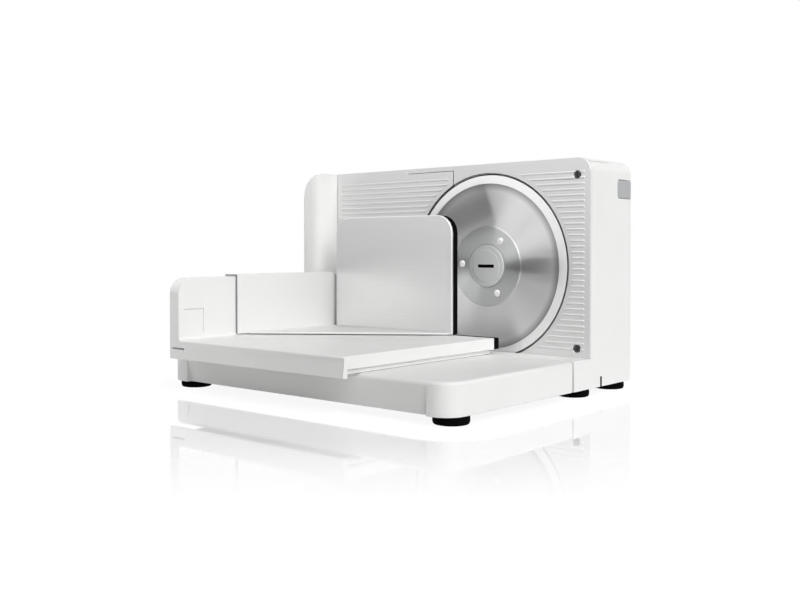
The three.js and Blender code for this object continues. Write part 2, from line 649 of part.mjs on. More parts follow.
const carrierFront = GAUGE_THICKNESS + GAP;
const carrierRear = carrierFront + CARRIER_DEPTH;
const threadPitch = (GAUGE_TRAVEL * 360) / DIAL_TURN;
const threadStart = carrierRear - FORK_THICKNESS - FORK_GAP / 2 - GAP;

function carrier() {
  const block = box([dialX - CARRIER_WIDTH / 2, carrierFront, DIAL_UP - CARRIER_HEIGHT / 2],
    [dialX + CARRIER_WIDTH / 2, carrierRear, DIAL_UP + CARRIER_HEIGHT / 2]);
  const bore = rodY(dialX, DIAL_UP, CARRIER_BORE, carrierFront + CARRIER_FACE, carrierRear + OVER,
    MIDDLE_STEPS);
  const rodBores = rodPlaces.map(([x, z]) =>
    rodY(x, z, ROD_RADIUS + RUNNING, carrierFront + CARRIER_FACE, carrierRear + OVER));
  const prong = (y) => box([dialX - FORK_WIDTH / 2, y, DIAL_UP + SPINDLE_RADIUS + 2 * RUNNING],
    [dialX + FORK_WIDTH / 2, y + FORK_THICKNESS, DIAL_UP + CARRIER_BORE + OVER]);
  const front = prong(threadStart - FORK_GAP / 2 - FORK_THICKNESS);
  const rear = prong(threadStart + FORK_GAP / 2);
  return join(cut(block, bore, ...rodBores), front, rear);
}

piece('gauge_carrier', carrier(), blackPlastic);
rodPlaces.forEach(([x, z], index) => {
  piece(`guide_rod_${index === 0 ? 'upper' : 'lower'}`,
    rodY(x, z, ROD_RADIUS, pocketDepth + WALL, casingRear - WALL - GAP), plainSteel);
});

// Thickness dial at the back, with the threaded spindle that moves the carrier

class ThreadLine extends THREE.Curve {
  getPoint(share, target = new THREE.Vector3()) {
    const turn = -THREAD_REACH + share * (DIAL_TURN + 2 * THREAD_REACH);
    const radius = SPINDLE_RADIUS + THREAD_RADIUS - THREAD_SINK;
    const angle = degrees(90 + turn);
    return target.set(dialX + radius * Math.cos(angle), threadStart + (threadPitch * turn) / 360,
      DIAL_UP + radius * Math.sin(angle));
  }
}

function spindle() {
  const rear = casingRear + GAP;
  const bar = rodY(dialX, DIAL_UP, SPINDLE_RADIUS, rear - SPINDLE_LENGTH, rear, MIDDLE_STEPS);
  const section = outline(arc(0, 0, THREAD_RADIUS, 0, 360 - 360 / THREAD_SIDES, THREAD_SIDES - 1));
  const ridge = new THREE.ExtrudeGeometry(section,
    { steps: THREAD_STEPS, extrudePath: new ThreadLine() });
  return join(bar, solid(ridge));
}

piece('dial_spindle', spindle(), plainSteel);

function dial() {
  const steps = DIAL_LOBES * 4;
  const edge = Array.from({ length: steps }, (_, step) => {
    const angle = (2 * Math.PI * step) / steps;
    const radius = DIAL_RADIUS - DIAL_LOBE_DEPTH * (1 - Math.cos(DIAL_LOBES * angle)) / 2;
    return [dialX + radius * Math.cos(angle), DIAL_UP + radius * Math.sin(angle)];
  });
  return alongY(edge, casingRear + 2 * GAP, dialRear, DIAL_LOBE_DEPTH, 1);
}

piece('thickness_dial', dial(), greyPlastic);

// Blade with its gear, rivets and lock

function blade() {
  const flat = BLADE_RADIUS - BLADE_BEVEL_WIDTH;
  const rear = BLADE_THICKNESS;
  const seat = LOCK_RADIUS + LOCK_SEAT_GAP;
  const disc = turned([
    [axleBore, 0], [axleBore, rear], [flat, rear], [BLADE_RADIUS, rear - BLADE_EDGE],
    [BLADE_RADIUS, rear - 2 * BLADE_EDGE], [flat, 0], [BLADE_DISH_RADIUS + BLADE_DISH_STEP, 0],
    [BLADE_DISH_RADIUS, -BLADE_DISH_HEIGHT], [seat + BLADE_DISH_STEP, -BLADE_DISH_HEIGHT], [seat, 0],
    [axleBore, 0]], BLADE_STEPS);
  return cut(disc, ...rivetHoles(-2 * OVER, BLADE_THICKNESS + OVER));
}

const rivetPlaces = [0, 1, 2].map((index) => {
  const angle = degrees(RIVET_TURN + 120 * index);
  return [RIVET_CIRCLE * Math.cos(angle), RIVET_CIRCLE * Math.sin(angle)];
});
const rivetHoles = (y0, y1) => rivetPlaces.map(([x, z]) => rodY(x, z, RIVET_SHANK_RADIUS + GAP, y0, y1));
const bladePlace = [bladeX, 0, bladeZ];

piece('blade', blade(), brushedSteel, bladePlace);

// Outline of a spur gear with straight flanks laid inside the involute, one tooth at the given angle.
function gearOutline(teeth, module, toothAngle) {
  const pitchRadius = (module * teeth) / 2;
  const baseRadius = pitchRadius * Math.cos(degrees(PRESSURE_ANGLE));
  const involute = (angle) => Math.tan(angle) - angle;
  const halfTooth = (radius) => {
    const atPitch = Math.PI / (2 * teeth) - BACKLASH / (4 * pitchRadius);
    const slope = Math.acos(Math.min(1, baseRadius / radius));
    return atPitch + involute(degrees(PRESSURE_ANGLE)) - involute(slope);
  };
  const tip = pitchRadius + TOOTH_ADDENDUM * module;
  const root = pitchRadius - TOOTH_DEDENDUM * module;
  return Array.from({ length: teeth }, (_, tooth) => {
    const middle = degrees(toothAngle) + (2 * Math.PI * tooth) / teeth;
    const corners = [[root, -halfTooth(root)], [tip, -halfTooth(tip)], [tip, halfTooth(tip)],
      [root, halfTooth(root)]];
    return corners.map(([radius, turn]) =>
      [radius * Math.cos(middle + turn), radius * Math.sin(middle + turn)]);
  }).flat();
}

// The angle that puts a gear's tooth space where its mate, seen along the given angle, has a tooth.
const meshAngle = (angle, teeth) => angle + 180 + 180 / teeth;

function bladeGear() {
  const wheel = alongY(gearOutline(BLADE_TEETH, GEAR_MODULE, IDLER_TURN), bladeGearFront, bladeGearRear);
  const bore = rodY(0, 0, axleRadius + RUNNING, -OVER, bladeGearRear + OVER, LOCK_STEPS);
  return cut(wheel, bore, ...rivetHoles(0, bladeGearRear + OVER));
}

piece('blade_gear', bladeGear(), gearPlastic, bladePlace);

function rivet() {
  const front = -BLADE_DISH_HEIGHT - GAP;
  return turned([[0, front - RIVET_HEAD_HEIGHT], [RIVET_CROWN_RADIUS, front - RIVET_HEAD_HEIGHT],
    [RIVET_HEAD_RADIUS, front - RIVET_HEAD_HEIGHT / 3], [RIVET_HEAD_RADIUS, front],
    [RIVET_SHANK_RADIUS, front], [RIVET_SHANK_RADIUS, bladeGearRear], [0, bladeGearRear]], SMALL_STEPS);
}

const rivetBody = rivet();
rivetPlaces.forEach(([x, z], index) => {
  piece(`blade_rivet_${index + 1}`, rivetBody, plainSteel, [bladeX + x, 0, bladeZ + z]);
});

function bladeLock() {
  const front = -BLADE_DISH_HEIGHT - GAP - LOCK_HEIGHT;
  const seat = -GAP;
  const knob = turned([[0, front], [LOCK_RADIUS - LOCK_RIM - LOCK_EDGE, front],
    [LOCK_RADIUS - LOCK_RIM, front + LOCK_EDGE], [LOCK_RADIUS - LOCK_EDGE, front + LOCK_EDGE],
    [LOCK_RADIUS, front + 2 * LOCK_EDGE], [LOCK_RADIUS, seat], [LOCK_SHANK_RADIUS, seat],
    [LOCK_SHANK_RADIUS, axleRear + GAP], [0, axleRear + GAP]], LOCK_STEPS);
  const slot = box([-LOCK_SLOT_LENGTH / 2, front - OVER, -LOCK_SLOT_WIDTH / 2],
    [LOCK_SLOT_LENGTH / 2, front + LOCK_SLOT_DEPTH, LOCK_SLOT_WIDTH / 2]);
  const key = box([-LOCK_KEY_LENGTH / 2, axleRear + GAP, -LOCK_KEY_WIDTH / 2],
    [LOCK_KEY_LENGTH / 2, axleRear + GAP + LOCK_KEY_THICKNESS, LOCK_KEY_WIDTH / 2]);
  const stub = rodY(0, 0, LOCK_SHANK_RADIUS, axleRear, axleRear + GAP + LOCK_KEY_THICKNESS, LOCK_STEPS);
  return join(cut(knob, slot), stub, key);
}

piece('blade_lock', bladeLock(), greyPlastic, bladePlace);

// Hollow axle: the blade's gear turns on it, and the lock's cross key passes its two keyways.
function bladeAxle() {
  const flange = recessFloor + GAP;
  const flangeRear = flange + AXLE_FLANGE_THICKNESS;
  const rim = axleRadius + AXLE_FLANGE;
  const tube = turned([[axleBore, bladeGearFront], [axleBore, axleRear], [axleRadius, axleRear],
    [axleRadius, flangeRear], [rim, flangeRear], [rim, flange], [axleRadius, flange],
    [axleRadius, bladeGearFront], [axleBore, bladeGearFront]], LOCK_STEPS);
  const keyway = box([-LOCK_KEY_WIDTH / 2 - RUNNING, -OVER, -LOCK_KEY_LENGTH / 2 - RUNNING],
    [LOCK_KEY_WIDTH / 2 + RUNNING, axleRear + OVER, LOCK_KEY_LENGTH / 2 + RUNNING]);
  return cut(tube, keyway);
}

piece('blade_axle', bladeAxle(), plainSteel, bladePlace);

// Intermediate gear: small pinion on the blade's gear, large wheel on the motor's pinion

function idlerGear() {
  const pinion = alongY(gearOutline(PINION_TEETH, GEAR_MODULE, meshAngle(IDLER_TURN, PINION_TEETH)),
    bladeGearFront, bladeGearRear);
  const hub = rodY(0, 0, IDLER_HUB_RADIUS, bladeGearRear - OVER, wheelFront + OVER);
  const wheel = alongY(gearOutline(WHEEL_TEETH, SECOND_MODULE, MOTOR_TURN), wheelFront, wheelRear);
  const bore = rodY(0, 0, IDLER_PIN_RADIUS + RUNNING, 0, plateRear);
  return cut(join(pinion, hub, wheel), bore);
}

piece('idler_gear', idlerGear(), gearPlastic, [idlerX, 0, idlerZ]);
piece('idler_pin', rodY(idlerX, idlerZ, IDLER_PIN_RADIUS, bladeGearFront, plateRear), plainSteel);

// Motor on its gear plate, which stands on posts behind the recess floor

function gearPlate() {
  const middleX = (idlerX + motorX) / 2;
  const middleZ = (idlerZ + motorZ) / 2;
  const plate = box([middleX - PLATE_WIDTH / 2, plateFront, middleZ - PLATE_HEIGHT / 2],
    [middleX + PLATE_WIDTH / 2, plateRear, middleZ + PLATE_HEIGHT / 2]);
  const postX = PLATE_WIDTH / 2 - PLATE_POST_RADIUS;
  const postZ = PLATE_HEIGHT / 2 - PLATE_POST_RADIUS;
  const posts = [[-1, 1], [-1, -1], [1, -1], [1, 1]].map(([sideX, sideZ]) =>
    rodY(middleX + sideX * postX, middleZ + sideZ * postZ, PLATE_POST_RADIUS,
      recessFloor + GAP, plateFront + OVER));
  const pinHole = rodY(idlerX, idlerZ, IDLER_PIN_RADIUS + GAP, 0, plateRear + OVER);
  const bossHole = rodY(motorX, motorZ, MOTOR_BOSS_RADIUS + GAP, 0, plateRear + OVER, MIDDLE_STEPS);
  return cut(join(plate, ...posts), pinHole, bossHole);
}

piece('gear_plate', gearPlate(), plainSteel);

function motorBody() {
  const can = rodY(motorX, motorZ, MOTOR_RADIUS, motorFront, motorFront + MOTOR_LENGTH, LOCK_STEPS);
  const boss = rodY(motorX, motorZ, MOTOR_BOSS_RADIUS, plateFront + GAP, motorFront + OVER, MIDDLE_STEPS);
  const bore = rodY(motorX, motorZ, MOTOR_SHAFT_RADIUS + RUNNING, 0, motorFront + MOTOR_LENGTH / 2);
  return cut(join(can, boss), bore);
}

piece('motor', motorBody(), plainSteel);

const pinionFront = wheelFront - GAP;
const pinionRear = plateFront - GAP;

function motorPinion() {
  const wheel = alongY(gearOutline(MOTOR_TEETH, SECOND_MODULE, meshAngle(MOTOR_TURN, MOTOR_TEETH)),
    pinionFront, pinionRear);
  return cut(wheel, rodY(0, 0, MOTOR_SHAFT_RADIUS + GAP, 0, plateRear));
}

piece('motor_pinion', motorPinion(), plainSteel, [motorX, 0, motorZ]);
piece('motor_shaft',
  rodY(motorX, motorZ, MOTOR_SHAFT_RADIUS, pinionFront, motorFront + MOTOR_LENGTH / 2 - GAP), plainSteel);

// Power button in the rear right edge, the switch behind it and the mains inlet

function powerButton() {
  const plan = [[-BUTTON_THICKNESS, buttonFront], [0, buttonFront],
    ...arc(-CASING_REAR_RADIUS, casingRear - CASING_REAR_RADIUS, CASING_REAR_RADIUS, 0, 90, CORNER_STEPS),
    [-BUTTON_THICKNESS, casingRear]];
  const bar = alongZ(plan, buttonLow, buttonHigh);
  const face = alongX(roundedRectangle(buttonFront, buttonLow, casingRear + OVER, buttonHigh,
    [BUTTON_CORNER, 0, 0, BUTTON_CORNER]), -BUTTON_THICKNESS - OVER, OVER);
  return bar.intersect(face);
}

piece('power_button', powerButton(), greyPlastic);

function switchBody() {
  const right = -BUTTON_THICKNESS - BUTTON_TRAVEL - GAP;
  const middle = casingRear - BUTTON_DEPTH / 2;
  const block = box([right - SWITCH_WIDTH, middle - SWITCH_DEPTH / 2, buttonZ - SWITCH_HEIGHT / 2],
    [right, middle + SWITCH_DEPTH / 2, buttonZ + SWITCH_HEIGHT / 2]);
  const hanger = box([right - SWITCH_HANGER, middle - SWITCH_DEPTH / 2, buttonZ],
    [right, middle + SWITCH_DEPTH / 2, casingTop - WALL - GAP]);
  return join(block, hanger);
}

piece('switch_body', switchBody(), blackPlastic);

function inlet() {
  const flange = casingRear + GAP;
  const flangeRear = flange + INLET_FLANGE_THICKNESS;
  const rim = INLET_RADIUS + INLET_FLANGE;
  return turned([[INLET_BORE, casingRear - WALL], [INLET_BORE, flangeRear],
    [rim - INLET_FLANGE_EDGE, flangeRear], [rim, flangeRear - INLET_FLANGE_EDGE], [rim, flange],
    [INLET_RADIUS, flange], [INLET_RADIUS, casingRear - WALL],
    [INLET_BORE, casingRear - WALL]], MIDDLE_STEPS);
}

piece('cord_inlet', inlet(), blackRubber, [inletX, 0, INLET_UP]);

// Base, hinged to the ledge along its rear top edge

const baseFootPlaces = {
  base_foot_left: [baseLeft + FOOT_INSET, baseFront + BASE_FOOT_BACK],
  base_foot_right: [-FOOT_INSET, baseFront + BASE_FOOT_BACK],
};
const runnerMiddle = baseRear - RUNNER_FROM_SEAM;
const runnerLeft = trayLeft + WALL + GAP;
const runLeft = runnerLeft - RUNNING;
const runRight = runnerLeft + RUNNER_LENGTH + CARRIAGE_TRAVEL + RUNNING;

function base() {
  const below = casingFloor - OVER;
  const plan = roundedRectangle(baseLeft, baseFront, 0, baseRear, [BASE_CORNER, BASE_CORNER, 0, 0]);
  const block = alongZ(plan, casingFloor - BASE_EDGE, 0, BASE_EDGE)
    .intersect(box([baseLeft, baseFront, casingFloor], [0, baseRear + OVER, OVER]));
  const rearEdge = cut(
    box([baseLeft - OVER, hingeY, hingeZ], [OVER, baseRear + OVER, OVER]),
    rodX(hingeY, hingeZ, HINGE_RADIUS, baseLeft - 2 * OVER, 2 * OVER, MIDDLE_STEPS));
  const innerCorner = BASE_CORNER - WALL;
  const hollow = alongZ(roundedRectangle(baseLeft + WALL, baseFront + BASE_SETBACK + WALL, -WALL,
    baseRear - 2 * WALL - HINGE_RADIUS, [innerCorner, innerCorner, 0, 0]), below, -WALL);
  const footLine = baseFront + BASE_SETBACK;
  const undercut = alongX([[baseFront - OVER, -BASE_LIP], [baseFront, -BASE_LIP],
    [footLine, casingFloor], [footLine, below], [baseFront - OVER, below]],
  baseLeft + BASE_POST_LEFT, -BASE_POST_RIGHT);
  const bosses = Object.values(baseFootPlaces).map(([x, y]) =>
    rodZ(x, y, FOOT_RADIUS - FOOT_TAPER, casingFloor, -WALL + GAP, MIDDLE_STEPS).intersect(
      alongZ(plan, casingFloor, 0)));
  const footHoles = Object.values(baseFootPlaces).map(([x, y]) =>
    rodZ(x, y, FOOT_STEM_RADIUS + GAP, below, casingFloor + FOOT_STEM_LENGTH + 2 * GAP));
  const slot = box([runLeft, runnerMiddle - RUNNER_NECK / 2 - RUNNING, -2 * WALL],
    [runRight, runnerMiddle + RUNNER_NECK / 2 + RUNNING, OVER]);
  const play = HINGE_RADIUS + 2 * RUNNING;
  const lugNotches = Object.values(hingePlaces).map((x) =>
    box([x - RUNNING, hingeY - play, hingeZ - play],
      [x + HINGE_LUG_WIDTH + RUNNING, baseRear + OVER, OVER]));
  const pinOver = (HINGE_PIN_LENGTH - HINGE_LUG_WIDTH) / 2 + GAP;
  const pinHoles = Object.values(hingePlaces).map((x) =>
    rodX(hingeY, hingeZ, HINGE_PIN_RADIUS + RUNNING, x - pinOver, x + HINGE_LUG_WIDTH + pinOver));
  const shell = join(cut(block, hollow), ...bosses);
  return cut(shell, rearEdge, undercut, slot, ...footHoles, ...lugNotches, ...pinHoles);
}

piece('base', base(), whitePlastic);
for (const [name, [x, y]] of Object.entries(baseFootPlaces)) {
  piece(name, footBody, blackRubber, [x, y, floor]);
}
for (const [side, x] of Object.entries(hingePlaces)) {
  const start = x - (HINGE_PIN_LENGTH - HINGE_LUG_WIDTH) / 2;
  piece(`hinge_pin_${side}`,
    rodX(hingeY, hingeZ, HINGE_PIN_RADIUS, start, start + HINGE_PIN_LENGTH), plainSteel);
}

// Runner, held in the base's slot by its two flanges

const runnerTop = TRAY_SKIRT_FOOT - 2 * GAP;

function runner() {
  const half = RUNNER_NECK / 2;
  const wide = half + RUNNER_FLANGE;
  const foot = -WALL - GAP;
  const section = [[-half, foot], [-wide, foot], [-wide, foot - WALL], [wide, foot - WALL],
    [wide, foot], [half, foot], [half, GAP], [wide, GAP], [wide, runnerTop], [-wide, runnerTop],
    [-wide, GAP], [-half, GAP]];
  return alongX(section.map(([y, z]) => [runnerMiddle + y, z]), runnerLeft, runnerLeft + RUNNER_LENGTH);
}

piece('carriage_runner', runner(), blackPlastic);

// Carriage: tray, front apron and upright wall in one moulding, with a dark strip along the blade side

const wallRight = trayLeft + WALL_THICKNESS;
const wallRear = trayRear - WALL_REAR_GAP;

function carriage() {
  const tray = box([trayLeft, apronFront, TRAY_SKIRT_FOOT], [trayRight, trayRear, TRAY_TOP]);
  const apron = alongX(roundedRectangle(apronFront, -APRON_DROP, apronRear, TRAY_TOP,
    [APRON_FOOT_RADIUS, APRON_FOOT_RADIUS, 0, APRON_TOP_RADIUS]), trayLeft, trayRight);
  const wall = alongX(roundedRectangle(apronFront, TRAY_TOP - OVER, wallRear, WALL_TOP,
    [0, 0, WALL_REAR_RADIUS, WALL_CORNER]), trayLeft, wallRight);
  const trayHollow = box([trayLeft + WALL, apronRear, -OVER],
    [trayRight - WALL, trayRear - WALL, TRAY_TOP - WALL]);
  const wallHollow = box([trayLeft + WALL_SKIN, apronRear, -OVER],
    [wallRight - WALL_SKIN, wallRear - WALL_SKIN, WALL_TOP - WALL_CORNER]);
  const bearing = box([runnerLeft, runnerMiddle - RUNNER_NECK, runnerTop + GAP],
    [runnerLeft + RUNNER_LENGTH, runnerMiddle + RUNNER_NECK, TRAY_TOP - WALL + GAP]);
  const glideRight = trayRight - WALL + GAP;
  const glide = box([glideRight - GLIDE_WIDTH, apronRear - GAP, GAP],
    [glideRight, trayRear - WALL, TRAY_TOP - WALL + GAP]);
  const slotLeft = trayLeft + APRON_SLOT_INSET;
  const slot = box([slotLeft, apronFront - OVER, APRON_SLOT_UP],
    [slotLeft + APRON_SLOT_LENGTH, apronRear + OVER, APRON_SLOT_UP + APRON_SLOT_HEIGHT]);
  const latchFront = apronFront + LATCH_FRONT;
  const latchRear = latchFront + LATCH_LENGTH;
  const grooveDepth = wallRight - LATCH_GROOVE;
  const latchTop = box([grooveDepth, latchFront, LATCH_TOP - LATCH_GROOVE],
    [wallRight + OVER, latchRear, LATCH_TOP]);
  const latchSide = box([grooveDepth, latchRear - LATCH_GROOVE, LATCH_FOOT],
    [wallRight + OVER, latchRear, LATCH_TOP]);
  const moulding = cut(join(tray, apron, wall), trayHollow, wallHollow);
  return cut(join(moulding, bearing, glide), slot, latchTop, latchSide);
}

piece('carriage', carriage(), whitePlastic);
piece('carriage_strip', box([trayLeft + WALL, trayRear + GAP, TRAY_SKIRT_FOOT],
  [trayRight, trayRear + GAP + STRIP_DEPTH, TRAY_TOP]), blackPlastic);

// Remnant holder: saddle over the wall, pressing plate with its backing, and the floor web

const holderRear = -HOLDER_REAR_GAP;
const holderFront = holderRear - HOLDER_LENGTH;
const saddleLeft = trayLeft - GAP;
const saddleRight = wallRight + GAP;
const sideRight = saddleRight + HOLDER_SIDE;
const sideFoot = TRAY_TOP + HOLDER_FOOT_GAP;
const roofTop = WALL_TOP + GAP + HOLDER_ROOF;
const pressFront = holderRear - PRESS_BACK;
const pressRear = pressFront + PRESS_THICKNESS;
const backingFront = pressRear + GAP;
const backingRear = backingFront + BACKING_THICKNESS;
const pressLeft = sideRight + PRESS_SET;
const pressRight = pressLeft + PRESS_WIDTH;
const pressFoot = TRAY_TOP + PRESS_FOOT_GAP;

function saddle() {
  const roof = box([saddleLeft - HOLDER_OUTER, holderFront, WALL_TOP + GAP],
    [sideRight, holderRear, roofTop]);
  const outer = box([saddleLeft - HOLDER_OUTER, holderFront, WALL_TOP - HOLDER_OUTER_DROP],
    [saddleLeft, holderRear, roofTop]);
  const side = box([saddleRight, holderFront, sideFoot], [sideRight, holderRear, roofTop]);
  const tongue = box([saddleRight, holderRear - OVER, sideFoot], [sideRight, backingRear, WALL_TOP]);
  return join(roof, outer, side, tongue);
}

piece('holder_saddle', saddle(), whitePlastic);
piece('pressing_plate', alongY(roundedRectangle(pressLeft, pressFoot, pressRight, PRESS_TOP,
  [0, 0, PRESS_CORNER, PRESS_CORNER]), pressFront, pressRear), silverPaint);

function backing() {
  const arm = box([sideRight + GAP, backingRear - BACKING_ARM, pressFoot],
    [pressLeft + 2 * PRESS_CORNER, backingRear, WALL_TOP]);
  const corner = PRESS_CORNER - BACKING_INSET;
  const board = alongY(roundedRectangle(pressLeft + BACKING_INSET, pressFoot,
    pressRight - BACKING_INSET, PRESS_TOP - BACKING_INSET, [0, 0, corner, corner]),
  backingFront, backingRear);
  return join(board, arm);
}

piece('backing_plate', backing(), blackPlastic);

const webLeft = sideRight + GAP;
const webRear = pressFront - GAP;
const webOutline = [[webLeft, webRear - WEB_LENGTH], [webLeft + WEB_WIDTH, webRear], [webLeft, webRear]];
piece('holder_web', alongZ(webOutline, pressFoot, pressFoot + WEB_THICKNESS), whitePlastic);

// Stand the finished slicer on the floor, centred under its own outline.
slicer.position.set(CASING_WIDTH / 2, -(apronFront + dialRear) / 2, -floor);

const part = new THREE.Group();
part.add(slicer);

export default part;
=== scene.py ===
# %% [markdown]
# # A folding food slicer, dressed in Blender
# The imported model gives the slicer's exact solids: casing, blade, stop plate, hinged base, carriage and
# remnant holder. This lesson loads them as a fixed frame and gives every visible piece the rounded edges,
# screws, ribs and finishes of the real machine. Nothing is moved, so each piece stays on its own joint.

# %% Load the frame
import json
from math import cos, radians, sin, tan

import bmesh
import bpy
from mathutils import Matrix, Vector


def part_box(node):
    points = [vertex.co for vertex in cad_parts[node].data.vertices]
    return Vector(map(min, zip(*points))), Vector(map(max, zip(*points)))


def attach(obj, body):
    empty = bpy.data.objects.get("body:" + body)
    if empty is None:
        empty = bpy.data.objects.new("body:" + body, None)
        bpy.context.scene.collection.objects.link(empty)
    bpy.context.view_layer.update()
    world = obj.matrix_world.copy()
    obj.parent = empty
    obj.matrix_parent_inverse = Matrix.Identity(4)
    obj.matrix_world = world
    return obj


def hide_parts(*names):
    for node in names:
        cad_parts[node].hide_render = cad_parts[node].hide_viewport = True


MM = 0.001
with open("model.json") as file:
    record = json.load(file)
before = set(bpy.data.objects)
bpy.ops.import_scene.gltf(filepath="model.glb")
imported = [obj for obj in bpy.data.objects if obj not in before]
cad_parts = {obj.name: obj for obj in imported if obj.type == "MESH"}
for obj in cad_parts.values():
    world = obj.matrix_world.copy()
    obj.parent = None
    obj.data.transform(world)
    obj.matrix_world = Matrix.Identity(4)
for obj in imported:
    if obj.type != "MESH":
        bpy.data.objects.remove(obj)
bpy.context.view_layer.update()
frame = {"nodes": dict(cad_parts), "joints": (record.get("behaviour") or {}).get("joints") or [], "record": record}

# %% [markdown]
# ## The camera
# The photograph looks at the slicer from the right of its food side, almost level with the carriage.
# Such a viewpoint could be tried by eye, but straight edges of the casing and the circle of the blade fix
# it exactly: focal length, place and turn were solved from them. A small lens shift puts the vanishing
# point of the view where the photograph has it, which a turn of the camera would not do.

# %% Place the camera
PHOTO_WIDTH = 800
PHOTO_HEIGHT = 600
FOCAL_PIXELS = 948.907
VIEW_CENTRE = (390.575, 265.613)
SENSOR_WIDTH = 36
CAMERA_DIP = 0.9314
CAMERA_TURN = 40.7217
FROM_AXLE = Vector((0.511907, -0.733375, 0.01492))
joints = {joint["name"]: joint for joint in frame["joints"]}
AXLE = Vector(joints["blade_spin"]["pos_m"])

lens = bpy.data.cameras.new("photo_lens")
lens.sensor_fit = "HORIZONTAL"
lens.sensor_width = SENSOR_WIDTH
lens.lens = FOCAL_PIXELS * SENSOR_WIDTH / PHOTO_WIDTH
lens.shift_x = (PHOTO_WIDTH / 2 - VIEW_CENTRE[0]) / PHOTO_WIDTH
lens.shift_y = (VIEW_CENTRE[1] - PHOTO_HEIGHT / 2) / PHOTO_WIDTH
camera = bpy.data.objects.new("photo_camera", lens)
camera.location = AXLE + FROM_AXLE
camera.rotation_euler = (radians(90 - CAMERA_DIP), 0, radians(CAMERA_TURN))
scene = bpy.context.scene
scene.collection.objects.link(camera)
scene.camera = camera
print(f"camera: {lens.lens:.1f} mm lens, shift {lens.shift_x:.3f}, {lens.shift_y:.3f}")

# %% [markdown]
# ## Finishes
# A finish is a node tree. One function turns a hex colour, as a picture editor shows it, into the linear
# numbers that the shader wants, and one adds a node with its settings and links, so that each tree below
# reads from its texture coordinates down to the shader. All patterns read Object coordinates, in metres,
# because every piece sits at the origin: the pattern then has one real size on all pieces.

# %% Helpers for finishes
def linear(colour):
    """An sRGB hex colour as linear red, green, blue and alpha."""
    channels = [int(colour[i:i + 2], 16) / 255 for i in (1, 3, 5)]
    return [c / 12.92 if c <= 0.04045 else ((c + 0.055) / 1.055) ** 2.4 for c in channels] + [1.0]


def add(tree, kind, links=None, values=None, **settings):
    """Adds a node: settings are its properties, values its sockets, links the sockets that feed it."""
    made = tree.nodes.new(kind)
    for name, value in settings.items():
        setattr(made, name, value)
    for name, value in (values or {}).items():
        made.inputs[name].default_value = value
    for name, source in (links or {}).items():
        tree.links.new(source, made.inputs[name])
    return made


def new_finish(name):
    """An empty material, with its tree, its surface socket and the Object coordinates it can read."""
    finish = bpy.data.materials.new(name)
    finish.use_nodes = True
    tree = finish.node_tree
    tree.nodes.clear()
    surface = add(tree, "ShaderNodeOutputMaterial").inputs["Surface"]
    place = add(tree, "ShaderNodeTexCoord").outputs["Object"]
    return finish, tree, surface, place


def per_mm(size):
    """Texture scale at which one cell of a pattern is this many millimetres."""
    return 1 / (size * MM)


NOISE_LOW = 0.3
NOISE_HIGH = 0.7
print("patterns are sized in mm; noise lies mostly between", NOISE_LOW, "and", NOISE_HIGH)

# %% [markdown]
# ### White ABS
# The casing, base, carriage and holder are injection-moulded ABS with a smooth, slightly soft gloss. The
# tool's polish leaves a faint orange-peel, and walls of uneven thickness cool into broad, shallow sinks.
# A flat white shader would look like paper, so two noises give those two scales: a fine one for the peel
# and a broad one that moves the roughness a little.

# %% White ABS
WHITE_ABS = "#ECECEB"
WHITE_ABS_SHADE = "#E7E7E6"
PEEL_SIZE = 1.2
PEEL_BUMP = 0.06
PEEL_DEPTH = 0.1
SINK_SIZE = 45
ABS_IOR = 1.53
ABS_ROUGHNESS = (0.40, 0.48)

white_abs, tree, surface, place = new_finish("white_abs_moulded")
sinks = add(tree, "ShaderNodeTexNoise", {"Vector": place}, {"Scale": per_mm(SINK_SIZE), "Detail": 2.0})
peel = add(tree, "ShaderNodeTexNoise", {"Vector": place}, {"Scale": per_mm(PEEL_SIZE), "Detail": 1.0})
tone = add(tree, "ShaderNodeMix", {"Factor": sinks.outputs["Fac"]},
           {"A": linear(WHITE_ABS), "B": linear(WHITE_ABS_SHADE)}, data_type="RGBA")
gloss = add(tree, "ShaderNodeMapRange", {"Value": sinks.outputs["Fac"]},
            {"From Min": NOISE_LOW, "From Max": NOISE_HIGH,
             "To Min": ABS_ROUGHNESS[0], "To Max": ABS_ROUGHNESS[1]})
grain = add(tree, "ShaderNodeBump", {"Height": peel.outputs["Fac"]},
            {"Strength": PEEL_BUMP, "Distance": PEEL_DEPTH * MM})
shader = add(tree, "ShaderNodeBsdfPrincipled",
             {"Base Color": tone.outputs["Result"], "Roughness": gloss.outputs["Result"],
              "Normal": grain.outputs["Normal"]}, {"IOR": ABS_IOR})
tree.links.new(shader.outputs["BSDF"], surface)
print("finish:", white_abs.name)

# %% [markdown]
# ### Satin silver sheet
# The ribbed panel, the stop plate and the pressing plate are aluminium with a satin anodised skin. It is
# a metal, so it shows the room, but the etched skin blurs it to a soft gradient. Very fine rolling lines
# run along the sheet; they are drawn wider than the real ones so that the picture still shows them. On
# the ribbed sheets the crests are painted a little greyer, a painted shade that keeps them from glaring; the
# finish finds them by their height in front of the sheet's own plane, which is the plane of the blade's axle
# point.

# %% Satin silver sheet
ROLLING_WIDTH = 0.5
ROLLING_LENGTH = 60
ROLLING_BUMP = 0.05
ROLLING_DEPTH = 0.05
SATIN_ROUGHNESS = (0.42, 0.5)
CREST_FOOT = 0.02
CREST_TOP = 0.3


